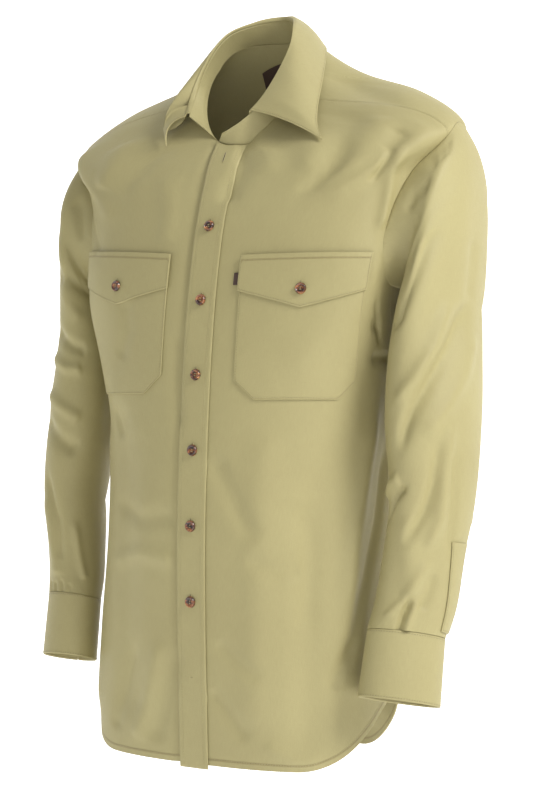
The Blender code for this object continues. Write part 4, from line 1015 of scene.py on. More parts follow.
def stitches(lines, pitch, thickness):
    """Every stitch of the lines as one mesh's points and faces. A stitch is a spindle along the line,
    pointed at both ends, with two square rings between them, raised over the cloth."""
    verts, faces, total = [], [], 0
    sides = np.array([(1.0, 0.0), (0.0, 1.0), (-1.0, 0.0), (0.0, -0.6)]) * thickness / 2
    ring = np.arange(4)
    after = (ring + 1) % 4
    for points, normals in lines:
        run = spans(points[None], 1)[0]
        count = int(run[-1] / pitch)
        if count < 1:
            continue
        middle = (np.arange(count) + 0.5) * run[-1] / count

        def at(values, where):
            return np.stack([np.interp(where, run, values[:, axis]) for axis in range(3)], -1)

        begin, end = at(points, middle - 0.37 * pitch), at(points, middle + 0.37 * pitch)
        out = unit(at(normals, middle))
        side = unit(np.cross(end - begin, out))
        square = side[:, None] * sides[:, :1] + out[:, None] * (sides[:, 1:] + thickness * 0.35)
        low = (begin * 0.72 + end * 0.28)[:, None] + square
        high = (begin * 0.28 + end * 0.72)[:, None] + square
        verts.append(np.concatenate([begin[:, None], low, high, end[:, None]], 1).reshape(-1, 3))
        base = total + 10 * np.arange(count)[:, None, None]
        total += 10 * count
        pointed = np.stack([np.zeros(4, int), 1 + after, 1 + ring, 1 + ring], -1)
        body = np.stack([1 + ring, 1 + after, 5 + after, 5 + ring], -1)
        blunt = np.stack([5 + ring, 5 + after, np.full(4, 9), np.full(4, 9)], -1)
        faces.append((base + np.concatenate([pointed, body, blunt])[None]).reshape(-1, 4))
    return np.concatenate(verts), np.concatenate(faces)


def stitch_mesh(name, lines):
    """A mesh of stitches, whose pointed ends are triangles."""
    sizes = bpy.context.scene.shirt_trim
    verts, faces = stitches(lines, sizes.stitch_length, sizes.thread_thickness)
    return made_mesh(name, verts, [tuple(dict.fromkeys(face)) for face in faces.tolist()])


def on_edges(*names):
    """Rows of stitches just inside these edges."""
    return dict.fromkeys(names, STITCH_ON_EDGE)


def add_stitching(name, grid, rows, trims=None):
    """A piece of stitching on a grid: rows gives each edge and how far in its stitches lie, and trims how
    far from the ends of an edge they stop, where that isn't the same distance."""
    lines = [inset_line(*grid, edge, inset, (trims or {}).get(edge)) for edge, inset in rows.items()]
    return place(name, stitch_mesh(name, lines), "Shirt Thread", "cotton_drill")


def slid(points, normals):
    """A grid and its normals, with its border drawn in by half a seam's gap."""
    return pulled_in(points, False), normals


def ring_pair():
    """Both armholes' points and normals, the left sleeve's first ring and then the right one's."""
    rings, outs = [], []
    for _, side in SIDES:
        points, out = draped_sleeve(ring_turns(), np.linspace(0, 1, SLEEVE_STEPS + 1), side)
        rings.append(points[:, 0] * [side, 1, 1])
        outs.append(out[:, 0] * [side, 1, 1])
    return np.concatenate(rings), np.concatenate(outs)


def front_grid(side):
    """A front's outer face. The right one is pressed in under the placket and comes up beside it."""
    plan = front_plan()
    points, out = on_torso(side * plan[..., 0], plan[..., 1])
    out = armhole_turned(points, out, *ring_pair())
    if side < 0:
        under = 1 - smooth((spans(points, 0) - OVERLAP - UNDERLAP_EDGE) / UNDERLAP_BLEND)
        points = points - out * ((WALL + 2 * SEAM_GAP) * under)[..., None]
    return points, out


def placket_grid():
    """The placket band on the left front's edge."""
    x = np.linspace(-OVERLAP, PLACKET_WIDTH - OVERLAP, PLACKET_STEPS[0] + 1)
    edge = front_plan()[0, :, 1]
    level = np.linspace(edge[0] - PLACKET_ENDS[0], edge[-1] - PLACKET_ENDS[1], PLACKET_STEPS[1] + 1)[None, :]
    angle = angle_at(x[:, None], level)
    return on_torso(angle, level, 2 * SEAM_GAP + TRIM_WALL)


def button_profile(radius):
    """A button's height over its underside at each distance from its middle: a dish with a round rim."""
    share = radius / BUTTON_RADIUS
    rim = np.exp(-((share - 0.82) / 0.13) ** 2)
    return BUTTON_HEIGHT * (0.58 + 0.42 * rim) * np.sqrt(np.clip(1.04 - share ** 10, 0.02, 1.0))


def capped(rings, tips):
    """Points and faces of a closed body: rings of points, drawn together to a tip at each end."""
    count, sides = rings.shape[:2]
    faces = grid_faces(count, sides, round_rows=True).tolist()
    last = (count - 1) * sides
    for k in range(sides):
        after = (k + 1) % sides
        faces += [(count * sides, k, after), (count * sides + 1, last + after, last + k)]
    return np.concatenate([rings.reshape(-1, 3), tips]), faces


def button_surface():
    """A button's points and faces: a closed turned body whose upper face dips into four thread holes."""
    turn = 2 * math.pi * np.arange(BUTTON_TURNS) / BUTTON_TURNS
    radius = BUTTON_RADIUS * np.sin(np.linspace(0.02, math.pi / 2, BUTTON_RINGS))
    x, y = radius[:, None] * np.cos(turn), radius[:, None] * np.sin(turn)
    z = np.broadcast_to(button_profile(radius)[:, None], x.shape).copy()
    for sx, sy in ((1, 1), (1, -1), (-1, 1), (-1, -1)):
        away = np.hypot(x - sx * HOLE_PLACE * 0.7071, y - sy * HOLE_PLACE * 0.7071)
        z -= HOLE_DEPTH * (1 - smooth((away - HOLE_RADIUS * 0.6) / (HOLE_RADIUS * 0.55)))
    top = np.stack([x, y, z], -1)
    low_radius = BUTTON_RADIUS * np.array([0.97, 0.80, 0.02])
    low = np.stack([low_radius[:, None] * np.cos(turn), low_radius[:, None] * np.sin(turn),
                    np.array([0.0004, 0.0, 0.0])[:, None] + 0 * turn], -1)
    return capped(np.concatenate([top, low]), [top[0].mean(0), low[-1].mean(0)])


def tube(path, radius, sides=8):
    """A closed tube along a path of points: circles square to the path, with pointed ends."""
    along = unit(np.gradient(path, axis=0))
    guide = np.array([0.0, 0.0, 1.0]) if abs(along[0, 2]) < 0.9 else np.array([1.0, 0.0, 0.0])
    side = unit(np.cross(along, guide))
    up = np.cross(side, along)
    turn = 2 * math.pi * np.arange(sides) / sides
    circle = side[:, None] * np.cos(turn)[:, None] + up[:, None] * np.sin(turn)[:, None]
    return capped(path[:, None] + circle * radius, path[[0, -1]])


def joined(parts):
    """Several sets of points and faces as one."""
    verts, faces, total = [], [], 0
    for points, polygons in parts:
        verts.append(points)
        faces += [tuple(total + k for k in face) for face in polygons]
        total += len(points)
    return np.concatenate(verts), faces


def axes_at(out):
    """Three axes where the cloth faces out: across, up the cloth and outward."""
    across = unit(np.cross((0.0, 0.0, 1.0), out))
    return np.stack([across, np.cross(out, across), out])


def button_spots():
    """Every button's name, the middle of its underside and the way it faces, as in the solids."""
    places = []
    for k in range(FRONT_BUTTONS):
        level = level_at(0.0, FIRST_BUTTON_Z - k * BUTTON_SPACING)
        point, out = on_torso(0.0, level, 2 * SEAM_GAP + TRIM_WALL + BUTTON_LIFT)
        places.append((f"front_button_{k + 1}", point, out))
    on_flap = LIFT_ON_FRONT + 2 * TRIM_WALL + 2 * SEAM_GAP + BUTTON_LIFT
    for name, side in SIDES:
        angle = pocket_angles(np.array(FLAP_BUTTON_Z), FLAP_BUTTON_SHARE)
        point, out = on_front(angle, np.array(FLAP_BUTTON_Z), side, on_flap)
        places.append((f"flap_button_{name}", point, out))
    near_turns = np.array([CUFF_BUTTON_TURN, CUFF_BUTTON_TURN - 2, CUFF_BUTTON_TURN + 2])
    top, low = sleeve_ring(SLEEVE[-1], near_turns), sleeve_ring(CUFF_LOW, near_turns)
    point, out = (top[0] + low[0]) / 2, np.cross(low[2] - low[1], top[0] - low[0])
    out *= np.sign(out[0]) / np.linalg.norm(out)
    for name, side in SIDES:
        way = np.array([side, 1.0, 1.0])
        places.append((f"cuff_button_{name}", hung(point + out * BUTTON_LIFT, 1.0, name) * way, out * way))
    return places


def buttonhole(point, out, along):
    """A worked buttonhole as a ring of overcast thread round a slit: a long loop whose round section
    swells and shrinks with each turn of thread. Points and faces."""
    across = np.cross(out, along)
    turn = 2 * math.pi * np.arange(OVERCAST_STEPS) / OVERCAST_STEPS
    half = BUTTONHOLE_LENGTH / 2 - BUTTONHOLE_WIDTH / 2
    x = half * np.clip(1.6 * np.cos(turn), -1, 1) + BUTTONHOLE_WIDTH * 0.30 * np.cos(turn)
    y = BUTTONHOLE_WIDTH * 0.34 * np.sin(turn)
    centre = point + x[:, None] * along + y[:, None] * across
    outward = x[:, None] * 0 + np.sign(y)[:, None] * across
    section = 2 * math.pi * np.arange(OVERCAST_SIDES) / OVERCAST_SIDES
    size = OVERCAST_RADIUS * (1 + 0.22 * np.cos(turn * OVERCAST_TURNS))[:, None, None]
    ring = centre[:, None] + size * (np.cos(section)[:, None] * outward[:, None]
                                     + 0.55 * np.sin(section)[:, None] * out)
    return ring.reshape(-1, 3), grid_faces(len(turn), OVERCAST_SIDES, True, True).tolist()


def slit(point, out, along):
    """Painted shade inside a buttonhole: a dark flat lens with pointed ends, just over the cloth, where the
    slit would be in shadow. Points and faces, with three points across it on top and the same three below."""
    across = np.cross(out, along)
    x = np.linspace(-1, 1, SLIT_STEPS + 1)
    width = SLIT_HALF_WIDTH * np.sqrt(np.clip(1 - x * x, 0, 1)) + 0.00001
    centre = point + (x * (BUTTONHOLE_LENGTH - BUTTONHOLE_WIDTH) / 2)[:, None] * along
    grid = centre[:, None] + np.array([1.0, 0.0, -1.0])[:, None] * (width[:, None, None] * across)
    verts = np.concatenate([(grid + out * 0.00022).reshape(-1, 3), (grid - out * 0.0002).reshape(-1, 3)])
    face, under = grid_faces(SLIT_STEPS + 1, 3), 3 * (SLIT_STEPS + 1)
    border = [3 * k for k in range(SLIT_STEPS + 1)]
    border += [under - 2] + [k + 2 for k in border[::-1]] + [1]
    rim = [(a, b, b + under, a + under) for a, b in zip(border, border[1:] + border[:1])]
    return verts, face.tolist() + (face[:, ::-1] + under).tolist() + rim


class Value:
    """A shader socket in arithmetic: each operator adds the Math node that it stands for."""

    def __init__(self, shader, socket):
        self.shader, self.socket = shader, socket

    def __add__(self, other):
        return self.shader.math("ADD", self, other)

    def __sub__(self, other):
        return self.shader.math("SUBTRACT", self, other)

    def __rsub__(self, other):
        return self.shader.math("SUBTRACT", other, self)

    def __mul__(self, other):
        return self.shader.math("MULTIPLY", self, other)

    def __truediv__(self, other):
        return self.shader.math("DIVIDE", self, other)

    __radd__, __rmul__ = __add__, __mul__


class Shader:
    """A material's node tree round its Principled BSDF."""

    def __init__(self, name, colour, roughness, **constants):
        self.material = bpy.data.materials.new(name)
        self.material.use_nodes = True
        self.tree = self.material.node_tree
        self.surface = self.tree.nodes["Principled BSDF"]
        self.surface.inputs["Base Color"].default_value = colour
        self.surface.inputs["Roughness"].default_value = roughness
        self.material.diffuse_color = colour
        for socket, value in constants.items():
            self.surface.inputs[socket.replace("_", " ")].default_value = value

    def node(self, kind, settings=None, sockets=None, out=0):
        """Any node: its settings are set first, then its sockets' values or links."""
        made = self.tree.nodes.new(kind)
        for key, value in (settings or {}).items():
            if key == "stops":
                while len(made.color_ramp.elements) < len(value):
                    made.color_ramp.elements.new(0.5)
                for element, (position, colour) in zip(made.color_ramp.elements, value):
                    element.position, element.color = position, colour
            else:
                setattr(made, key, value)
        for key, value in (sockets or {}).items():
            if isinstance(value, Value):
                self.tree.links.new(value.socket, made.inputs[key])
            else:
                made.inputs[key].default_value = value
        return Value(self, made.outputs[out])

    def math(self, operation, first, second=0.0):
        return self.node("ShaderNodeMath", {"operation": operation}, {0: first, 1: second})

    def mix(self, share, first, second):
        """A colour between two, by share."""
        return self.node("ShaderNodeMix", {"data_type": "RGBA"}, {0: share, 6: first, 7: second}, 2)

    def step(self, value, low, high):
        """0 below low, 1 above high and a soft S between."""
        return self.node("ShaderNodeMapRange", {"interpolation_type": "SMOOTHSTEP"},
                         {"Value": value, "From Min": low, "From Max": high})

    def noise(self, where, scale, detail=2.0, roughness=0.5):
        return self.node("ShaderNodeTexNoise", {},
                         {"Vector": where, "Scale": scale, "Detail": detail, "Roughness": roughness})

    def stretched(self, where, scale):
        """A position multiplied along its axes."""
        return self.node("ShaderNodeVectorMath", {"operation": "MULTIPLY"}, {0: where, 1: scale})

    def attribute(self, name):
        return self.node("ShaderNodeAttribute", {"attribute_name": name}, out="Fac")

    def solid(self):
        """The position in the piece's own space."""
        return self.node("ShaderNodeTexCoord", out="Object")

    def flat(self):
        """The position on the cloth laid flat, and its two parts."""
        flat = self.node("ShaderNodeUVMap", {"uv_map": "weave"})
        across = self.node("ShaderNodeSeparateXYZ", {}, {0: flat})
        return flat, across, Value(self, across.socket.node.outputs[1])

    def feed(self, socket, value):
        self.tree.links.new(value.socket, self.surface.inputs[socket])

    def bump(self, millimetres):
        """Relief from a height in millimetres."""
        self.feed("Normal", self.node("ShaderNodeBump", {}, {"Strength": 1.0, "Distance": 0.001,
                                                            "Height": millimetres}))


def opaque(colour, strength=1.0):
    """A colour for a socket, made this much stronger or weaker."""
    return tuple(min(1.0, strength * part) for part in colour) + (1.0,)


def drill_material():
    """Cotton drill: diagonal ribs of the weave, uneven threads, soft crumpling, puckers beside the seams
    and a groove under each row of stitches. The colour darkens with painted shade between the ribs and in
    the grooves, over the threads' own uneven tone."""
    cloth = bpy.context.scene.shirt_cloth
    light, dark = opaque(cloth.colour), opaque(cloth.shade_colour)
    shader = Shader("Shirt Drill", light, 0.52, Sheen_Weight=0.10, Sheen_Roughness=0.45, Sheen_Tint=light,
                    Specular_IOR_Level=0.30)
    flat, across, up = shader.flat()
    solid = shader.solid()
    ribs = shader.math("SINE", (across + up * 1.2) * (2 * math.pi / cloth.rib_pitch))
    threads = shader.noise(shader.stretched(flat, (2200.0, 90.0, 1.0)), 1.0, 1.0)
    wefts = shader.noise(shader.stretched(flat, (90.0, 2200.0, 1.0)), 1.0, 1.0)
    crumple = shader.noise(solid, 42.0, 3.0, 0.45)
    drift = shader.noise(solid, 7.0, 2.0, 0.5)
    stitched, seam = shader.attribute("stitched"), shader.attribute("seam")
    beside = 1.0 - shader.step(seam, 0.001, 0.014)
    pucker = beside * (shader.noise(flat, 120.0, 1.0) - 0.5)
    groove = 1.0 - shader.step(shader.math("ABSOLUTE", stitched - 1.0), 0.03, 0.30)
    turned = 1.0 - shader.step(stitched, 0.95, 1.25)
    shader.bump(ribs * 0.012 + threads * 0.03 + wefts * 0.02 + crumple * cloth.crumple * 1000.0
                + pucker * 0.55 - groove * 0.10 + turned * 0.06)
    # Painted shade: the colour darkens between the ribs and in the stitch grooves. The threads, wefts and
    # drift are the cloth's own uneven tone.
    tone_and_painted_shade = ribs * 0.10 + threads * 0.28 + wefts * 0.16 + drift * 0.30 + groove * 0.45 - 0.20
    shader.feed("Base Color", shader.mix(tone_and_painted_shade, light, dark))
    shader.feed("Roughness", 0.48 + threads * 0.10 + drift * 0.08)


def thread_material():
    """Sewing thread, a little lighter than the cloth, with its twist."""
    cloth = bpy.context.scene.shirt_cloth
    colour = opaque(cloth.colour, 1.06)
    shader = Shader("Shirt Thread", colour, 0.5, Sheen_Weight=0.2)
    twist = shader.noise(shader.solid(), 1800.0, 1.0)
    shader.feed("Base Color", shader.mix(twist * 0.5, colour, opaque(cloth.shade_colour)))
    shader.bump(twist * 0.05)


def tape_material():
    """Dark woven tape: fine cross ribs with a dull sheen."""
    trim = bpy.context.scene.shirt_trim
    dark, light = opaque(trim.tape_colour), opaque(trim.tape_colour, 1.9)
    shader = Shader("Shirt Tape", dark, 0.7, Sheen_Weight=0.15)
    flat, _, up = shader.flat()
    ribs = shader.math("SINE", up * (2 * math.pi / 0.0006))
    threads = shader.noise(shader.stretched(flat, (1500.0, 120.0, 1.0)), 1.0, 1.0)
    shader.feed("Base Color", shader.mix(ribs * 0.12 + threads * 0.4, dark, light))
    shader.feed("Roughness", 0.62 + threads * 0.14)
    groove = 1.0 - shader.step(shader.math("ABSOLUTE", shader.attribute("stitched") - 1.0), 0.05, 0.4)
    shader.bump(ribs * 0.03 + threads * 0.05 - groove * 0.2)


def button_material():
    """Mottled horn-like resin: dark and amber clouds drawn out sideways under a polished coat."""
    amber = opaque(bpy.context.scene.shirt_trim.button_colour)
    shader = Shader("Shirt Button", amber, 0.28, Coat_Weight=0.5, Coat_Roughness=0.12,
                    Specular_IOR_Level=0.5)
    clouds = shader.noise(shader.stretched(shader.solid(), (150.0, 150.0, 260.0)), 1.0, 3.0, 0.6)
    stops = [(0.34, (0.018, 0.012, 0.012, 1.0)), (0.47, (0.075, 0.026, 0.014, 1.0)), (0.56, amber),
             (0.70, (0.50, 0.24, 0.085, 1.0))]
    shader.feed("Base Color", shader.node("ShaderNodeValToRGB", {"stops": stops}, {0: clouds}))
    shader.feed("Roughness", 0.22 + clouds * 0.18)


def slit_shade_material():
    """Painted shade for the inside of a buttonhole's slit: a dark colour where the cut would lie in shadow.
    """
    shader = Shader("Shirt Slit Shade", (0.03, 0.024, 0.012, 1.0), 0.9)
    fuzz = shader.noise(shader.solid(), 900.0, 1.0)
    shader.feed("Base Color", shader.mix(fuzz, (0.02, 0.016, 0.008, 1.0), (0.07, 0.055, 0.028, 1.0)))


def floor_material():
    """A plain pale floor and wall with hardly any unevenness and a faint light of their own."""
    colour = bpy.context.scene.shirt_stage.floor_colour
    shader = Shader("Stage Floor", opaque(colour), 0.9, Emission_Strength=FLOOR_GLOW,
                    Emission_Color=(1.0, 1.0, 1.0, 1.0))
    drift = shader.noise(shader.solid(), 0.6, 1.0)
    shader.feed("Base Color", shader.mix(drift, opaque(colour), opaque(colour, 0.97)))
    return shader.material


class ShirtCloth(bpy.types.PropertyGroup):
    """The drill's sizes and colours."""

    colour: FloatVectorProperty(name="Cloth", description="Colour of the drill in the light", subtype="COLOR",
                                size=3, min=0.0, max=1.0, default=(0.395, 0.350, 0.168))
    # The shade colour serves as painted shade between the weave's ribs and in the stitch grooves, and as the
    # darker threads' own tone.
    shade_colour: FloatVectorProperty(name="Shade", description="Colour between the ribs and in the grooves",
                                      subtype="COLOR", size=3, min=0.0, max=1.0,
                                      default=(0.205, 0.160, 0.064))
    rib_pitch: FloatProperty(name="Rib Pitch", description="Distance from rib to rib of the weave",
                             subtype="DISTANCE", unit="LENGTH", default=0.0008)
    crumple: FloatProperty(name="Crumple", description="Height of the cloth's soft unevenness",
                           subtype="DISTANCE", unit="LENGTH", default=0.0008)


class ShirtTrim(bpy.types.PropertyGroup):
    """Sizes and colours of thread, tape and buttons."""

    stitch_length: FloatProperty(name="Stitch Length", description="Distance from stitch to stitch",
                                 subtype="DISTANCE", unit="LENGTH", default=0.0029)
    thread_thickness: FloatProperty(name="Thread", description="Thickness of the sewing thread",
                                    subtype="DISTANCE", unit="LENGTH", default=0.00045)
    tape_colour: FloatVectorProperty(name="Tape", description="Colour of the neck label and the pocket tab",
                                     subtype="COLOR", size=3, min=0.0, max=1.0, default=(0.050, 0.026, 0.016))
    button_colour: FloatVectorProperty(name="Buttons", description="The buttons' middle colour",
                                       subtype="COLOR", size=3, min=0.0, max=1.0,
                                       default=(0.26, 0.085, 0.028))


class ShirtStage(bpy.types.PropertyGroup):
    """The camera, the floor and the lights."""

    azimuth: FloatProperty(name="Azimuth", description="Turn of the camera from straight in front",
                           subtype="ANGLE", unit="ROTATION", default=math.radians(30.0))
    distance: FloatProperty(name="Distance", description="Camera's distance from the shirt's middle",
                            subtype="DISTANCE", unit="LENGTH", default=1.95)
    height: FloatProperty(name="Height", description="Camera's height", subtype="DISTANCE", unit="LENGTH",
                          default=-0.375)
    lens: FloatProperty(name="Lens", description="Focal length", subtype="DISTANCE_CAMERA", default=76.5)
    floor_height: FloatProperty(name="Floor", description="Height of the floor under the shirt",
                                subtype="DISTANCE", unit="LENGTH", default=-1.15)
    wall_distance: FloatProperty(name="Wall", description="Where the floor bends up, behind the shirt",
                                 subtype="DISTANCE", unit="LENGTH", default=2.2)
    floor_colour: FloatVectorProperty(name="Floor Colour", description="Colour of the floor", subtype="COLOR",
                                      size=3, min=0.0, max=1.0, default=(0.90, 0.90, 0.89))
    light: FloatProperty(name="Light", description="Strength of all the lights together", default=1.0,
                         min=0.0)


class SHIRT_OT_finishes(bpy.types.Operator):
    """Makes the shirt's materials"""

    bl_idname = "shirt.finishes"
    bl_label = "Finishes"

    def execute(self, context):
        for make in (drill_material, thread_material, tape_material, button_material, slit_shade_material):
            make()
        return {"FINISHED"}


class SHIRT_OT_body(bpy.types.Operator):
    """Builds the fronts, the back and the yoke"""

    bl_idname = "shirt.body"
    bl_label = "Body"

    def execute(self, context):
        hem, seams = {"low": STITCH_ON_HEM}, on_edges("first", "last")
        whole = dict.fromkeys(("low", "first", "last"), (0.0, 0.0))
        for name, side in SIDES:
            grid = front_grid(side)
            piece = cloth_piece("front_cloth_" + name, grid, WALL, "front_" + name, stitched=hem)
            add_stitching("front_stitching_" + name, slid(*grid), hem, whole)
        rings = ring_pair()
        panels = (("back", back_plan(), (0.58, 0.74), 0.30, hem, hem),
                  ("yoke", yoke_plan(), (0.60, 0.24), 0.100, {}, seams))
        for name, plan, flat, area, grooves, rows in panels:
            points, out = on_torso(plan[..., 0], plan[..., 1])
            grid = points, armhole_turned(points, out, *rings)
            piece = cloth_piece(name + "_cloth", grid, WALL, name, stitched=grooves)
            add_stitching(name + "_stitching", slid(*grid), rows, whole)
        return {"FINISHED"}


class SHIRT_OT_sleeves(bpy.types.Operator):
    """Builds the sleeves, their plackets and the cuffs"""

    bl_idname = "shirt.sleeves"
    bl_label = "Sleeves"

    def execute(self, context):
        turns, shares = ring_turns(), np.linspace(0, 1, SLEEVE_STEPS + 1)
        strip_edges, cuff_edges = on_edges("first", "last", "high"), on_edges("first", "last", "low", "high")
        for name, side in SIDES:
            way = [side, 1.0, 1.0]
            points, out = draped_sleeve(turns, shares, side)
            points, out = np.roll(points, -ARMHOLE_STEPS, 0), np.roll(out, -ARMHOLE_STEPS, 0)
            grid = hung(points, shares, name) * way, out * way
            piece = cloth_piece("sleeve_cloth_" + name, grid, WALL, "sleeve_" + name, closed=True)
            points, out, strip_shares = strip_grid(side, STRIP_STEPS[0] + 1, STRIP_STEPS[1] + 1)
            points = points + out * (STRIP_LIFT + TRIM_WALL)
            grid = hung(points, strip_shares, name) * way, out * way
            piece = cloth_piece("sleeve_strip_" + name, grid, TRIM_WALL, "sleeve_placket_" + name, roll=0.4,
                                stitched=strip_edges)
            add_stitching("sleeve_strip_stitching_" + name, grid, strip_edges)
            points, out = cuff_grid()
            grid = hung(points, 1.0, name) * way, out * way
            piece = cloth_piece("cuff_cloth_" + name, grid, WALL, "cuff_" + name, roll=0.45,
                                stitched=cuff_edges)
            add_stitching("cuff_stitching_" + name, grid, cuff_edges)
        return {"FINISHED"}


class SHIRT_OT_collar(bpy.types.Operator):
    """Builds the collar's stand and fall"""

    bl_idname = "shirt.collar"
    bl_label = "Collar"

    def execute(self, context):
        grid = stand_grid(neck_angles(), STAND_ROWS)
        piece = cloth_piece("collar_stand_cloth", grid, WALL, "collar_stand", roll=0.3)
        ends = np.radians(FALL[[0, -1], 0])
        grid = fall_grid(np.linspace(*ends, FALL_STEPS[0] + 1), FALL_STEPS[1])
        edges = on_edges("first", "last", "high")
        piece = cloth_piece("collar_fall_cloth", grid, WALL, "collar_fall", roll=0.45, stitched=edges)
        trims = {"first": (FALL_STITCH_START, STITCH_ON_EDGE), "last": (STITCH_ON_EDGE, FALL_STITCH_START)}
        add_stitching("collar_fall_stitching", grid, edges, trims)
        return {"FINISHED"}


def pocket_tab():
    """The dark tab that stands out of the left pocket's inner edge."""
    z = TAB_Z + np.linspace(-0.5, 0.5, TAB_STEPS[1] + 1) * TAB_SIZE[1]
    level = level_at(angle_at(POCKET_INNER_X, 0.66), z)[None, :]
    inward = np.linspace(1.0, 0.0, TAB_STEPS[0] + 1)[:, None] * TAB_SIZE[0]
    angle = angle_at(POCKET_INNER_X - 2 * SEAM_GAP - inward, level)
    grid = on_torso(angle, level, LIFT_ON_FRONT + TRIM_WALL)
    return cloth_piece("pocket_tab_tape", grid, TRIM_WALL, "pocket_tab", "Shirt Tape", "dark_trim", roll=0.5)


class SHIRT_OT_front_pieces(bpy.types.Operator):
    """Builds the placket band, the pockets, their flaps, the tab and the label"""

    bl_idname = "shirt.front_pieces"
    bl_label = "Placket and Pockets"

    def execute(self, context):
        grid = placket_grid()
        piece = cloth_piece("placket_cloth", grid, TRIM_WALL, "placket_band", roll=0.45)
        edges = ("first", "last")
        add_stitching("placket_stitching", grid, dict.fromkeys(edges, STITCH_ON_PLACKET),
                      dict.fromkeys(edges, (0.0, 0.0)))
        on_cloth = LIFT_ON_FRONT + TRIM_WALL
        pocket_edges = on_edges("first", "last", "low")
        flap_edges = pocket_edges | {"high": STITCH_ON_FLAP_TOP}
        for name, side in SIDES:
            grid = on_front(*pocket_plan(), side, on_cloth)
            piece = cloth_piece("pocket_cloth_" + name, grid, TRIM_WALL, "pocket_" + name, roll=0.4,
                                stitched=pocket_edges)
            [pocket_tab()] if name == "left" else []
            add_stitching("pocket_stitching_" + name, grid, pocket_edges)
            grid = on_front(*flap_plan(), side, on_cloth + 2 * SEAM_GAP + TRIM_WALL)
            piece = cloth_piece("flap_cloth_" + name, grid, TRIM_WALL, "flap_" + name, roll=0.45,
                                stitched=flap_edges)
            add_stitching("flap_stitching_" + name, grid, flap_edges,
                          dict.fromkeys(flap_edges, (STITCH_ON_EDGE, STITCH_ON_EDGE)))
        points, out = label_grid(LABEL_STEPS[0] + 1, LABEL_STEPS[1] + 1)
        edges = dict.fromkeys(("first", "last", "low", "high"), STITCH_ON_LABEL)
        piece = cloth_piece("neck_label_tape", (points - out * TRIM_WALL, -out), TRIM_WALL, "neck_label",
                            "Shirt Tape", "dark_trim", roll=0.4, stitched=edges)
        return {"FINISHED"}


def trim_piece(name, surface, finish, slot, *nodes):
    """A small piece from its points and faces."""
    return place(name, made_mesh(name, *surface, 40.0), finish, slot, *nodes)


class SHIRT_OT_buttons(bpy.types.Operator):
    """Builds the buttons with their thread and the buttonholes"""

    bl_idname = "shirt.buttons"
    bl_label = "Buttons"

    def execute(self, context):
        verts, faces = button_surface()
        bends = np.linspace(-1, 1, 9)
        bow = 1 - bends ** 2
        openings = []
        for name, point, out in button_spots():
            turned = axes_at(out)
            trim_piece(name + "_turned", (verts @ turned + point, faces), "Shirt Button", "button", name)
            strands = []
            for shift in (-1, 1):
                arc = np.stack([bends * HOLE_PLACE * 0.72, shift * HOLE_PLACE * 0.7071 + 0 * bends,
                                STRAND_FOOT + STRAND_RISE * bow], -1)
                strands.append(tube(arc @ turned + point, STRAND_RADIUS))
            trim_piece(name + "_thread", joined(strands), "Shirt Thread", "cotton_drill")
            along, shift = (turned[0], 0.0) if name.startswith("cuff") else (turned[1], BUTTONHOLE_SHIFT)
            openings.append((point - out * (BUTTON_LIFT - BUTTONHOLE_LIFT) + along * shift, out, along))
        on_placket = 2 * SEAM_GAP + TRIM_WALL
        point, out = on_torso(0.0, level_at(0.0, OPEN_BUTTONHOLE_Z), on_placket + BUTTONHOLE_LIFT)
        openings.append((point, out, axes_at(out)[1]))
        point, out = on_torso(0.0, level_at(0.0, THREAD_END_Z), on_placket)
        knot = np.stack([bends, bends, bow], -1) * THREAD_END_ARC @ axes_at(out) + point
        trim_piece("placket_thread_end", tube(knot, THREAD_END_RADIUS), "Shirt Thread", "cotton_drill")
        holes = joined(buttonhole(*opening) for opening in openings)
        trim_piece("buttonholes", holes, "Shirt Thread", "cotton_drill")
        # The slits are dark lenses of painted shade laid over the cloth.
        slits = joined(slit(*opening) for opening in openings)
        trim_piece("buttonhole_slit_shade", slits, "Shirt Slit Shade", "cotton_drill")
        return {"FINISHED"}


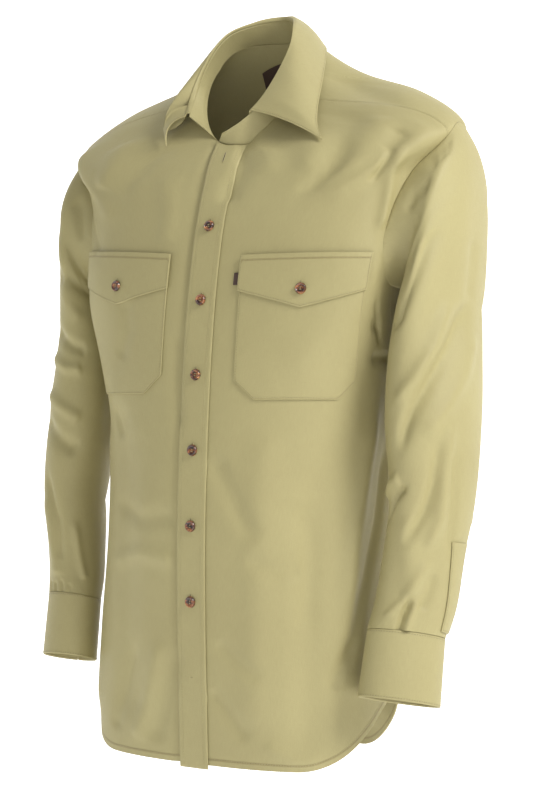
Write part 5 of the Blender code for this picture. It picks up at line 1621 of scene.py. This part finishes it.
class SHIRT_OT_stage(bpy.types.Operator):
    """Sets the camera, the backdrop and the soft lights"""

    bl_idname = "shirt.stage"
    bl_label = "Stage"

    def execute(self, context):
        scene, stage = context.scene, context.scene.shirt_stage
        camera = bpy.data.objects.new("stage_camera", bpy.data.cameras.new("stage_camera"))
        camera.data.lens, camera.data.sensor_width = stage.lens, 36.0
        camera.data.clip_end = 100.0
        camera.location = (stage.distance * math.sin(stage.azimuth),
                           -stage.distance * math.cos(stage.azimuth), stage.height)
        camera.rotation_euler = (math.pi / 2, 0.0, stage.azimuth)
        scene.collection.objects.link(camera)
        scene.camera = camera

        bend = np.linspace(0, math.pi / 2, BACKDROP_STEPS + 1)
        wall = stage.wall_distance + BACKDROP_BEND
        away = np.concatenate([[-BACKDROP_FRONT], stage.wall_distance + BACKDROP_BEND * np.sin(bend), [wall]])
        rise = np.concatenate([[0.0], BACKDROP_BEND * (1 - np.cos(bend)), [BACKDROP_TOP]])
        side = np.linspace(-BACKDROP_SIDE, BACKDROP_SIDE, BACKDROP_STEPS + 1)[:, None, None]
        ahead = np.array([-math.sin(stage.azimuth), math.cos(stage.azimuth)])
        right = np.array([math.cos(stage.azimuth), math.sin(stage.azimuth)])
        flat = side * right + away[None, :, None] * ahead
        height = np.broadcast_to(rise + stage.floor_height, flat.shape[:2])[..., None]
        mesh = bpy.data.meshes.new("stage_floor")
        mesh.from_pydata(np.concatenate([flat, height], -1).reshape(-1, 3).tolist(), [],
                         grid_faces(*flat.shape[:2]).tolist())
        mesh.shade_smooth()
        mesh.materials.append(floor_material())
        floor = bpy.data.objects.new("stage_floor", mesh)
        scene.collection.objects.link(floor)

        aim = Vector((0.0, 0.0, AIM_Z))
        for name, azimuth, elevation, distance, size, power in LIGHTS:
            light = bpy.data.lights.new(name, "AREA")
            light.shape, light.size, light.energy = "DISK", size, power * stage.light
            a, e = math.radians(azimuth), math.radians(elevation)
            lamp = bpy.data.objects.new(name, light)
            way = Vector((math.sin(a) * math.cos(e), -math.cos(a) * math.cos(e), math.sin(e)))
            lamp.location = aim + distance * way
            lamp.rotation_euler = (lamp.location - aim).to_track_quat("Z", "Y").to_euler()
            scene.collection.objects.link(lamp)
        world = bpy.data.worlds.new("stage_world")
        world.use_nodes = True
        world.node_tree.nodes["Background"].inputs["Color"].default_value = (1.0, 1.0, 1.0, 1.0)
        world.node_tree.nodes["Background"].inputs["Strength"].default_value = WORLD_STRENGTH * stage.light
        scene.world = world
        scene.view_settings.view_transform = "Standard"
        return {"FINISHED"}


OPERATORS = (SHIRT_OT_finishes, SHIRT_OT_body, SHIRT_OT_sleeves, SHIRT_OT_collar, SHIRT_OT_front_pieces,
             SHIRT_OT_buttons, SHIRT_OT_stage)


class SHIRT_PT_pieces(bpy.types.Panel):
    """Lists the shirt's groups of pieces and their sizes"""

    bl_label = "Drill Shirt"
    bl_idname = "SHIRT_PT_pieces"
    bl_space_type = "VIEW_3D"
    bl_region_type = "UI"
    bl_category = "Shirt"

    def draw(self, context):
        for group in (context.scene.shirt_cloth, context.scene.shirt_trim, context.scene.shirt_stage):
            for name in group.__annotations__:
                self.layout.prop(group, name)
        for operator in OPERATORS:
            self.layout.operator(operator.bl_idname)


GROUPS = {"shirt_cloth": ShirtCloth, "shirt_trim": ShirtTrim, "shirt_stage": ShirtStage}


def register():
    for group in GROUPS.values():
        bpy.utils.register_class(group)
    for name, group in GROUPS.items():
        setattr(bpy.types.Scene, name, PointerProperty(type=group))
    for kind in OPERATORS + (SHIRT_PT_pieces,):
        bpy.utils.register_class(kind)


def unregister():
    for kind in (SHIRT_PT_pieces,) + OPERATORS[::-1]:
        bpy.utils.unregister_class(kind)
    for name, group in GROUPS.items():
        delattr(bpy.types.Scene, name)
        bpy.utils.unregister_class(group)


def main():
    """Registers the add-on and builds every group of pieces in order."""
    register()
    for operator in OPERATORS:
        group, name = operator.bl_idname.split(".")
        getattr(getattr(bpy.ops, group), name)()


if __name__ == "__main__":
    main()
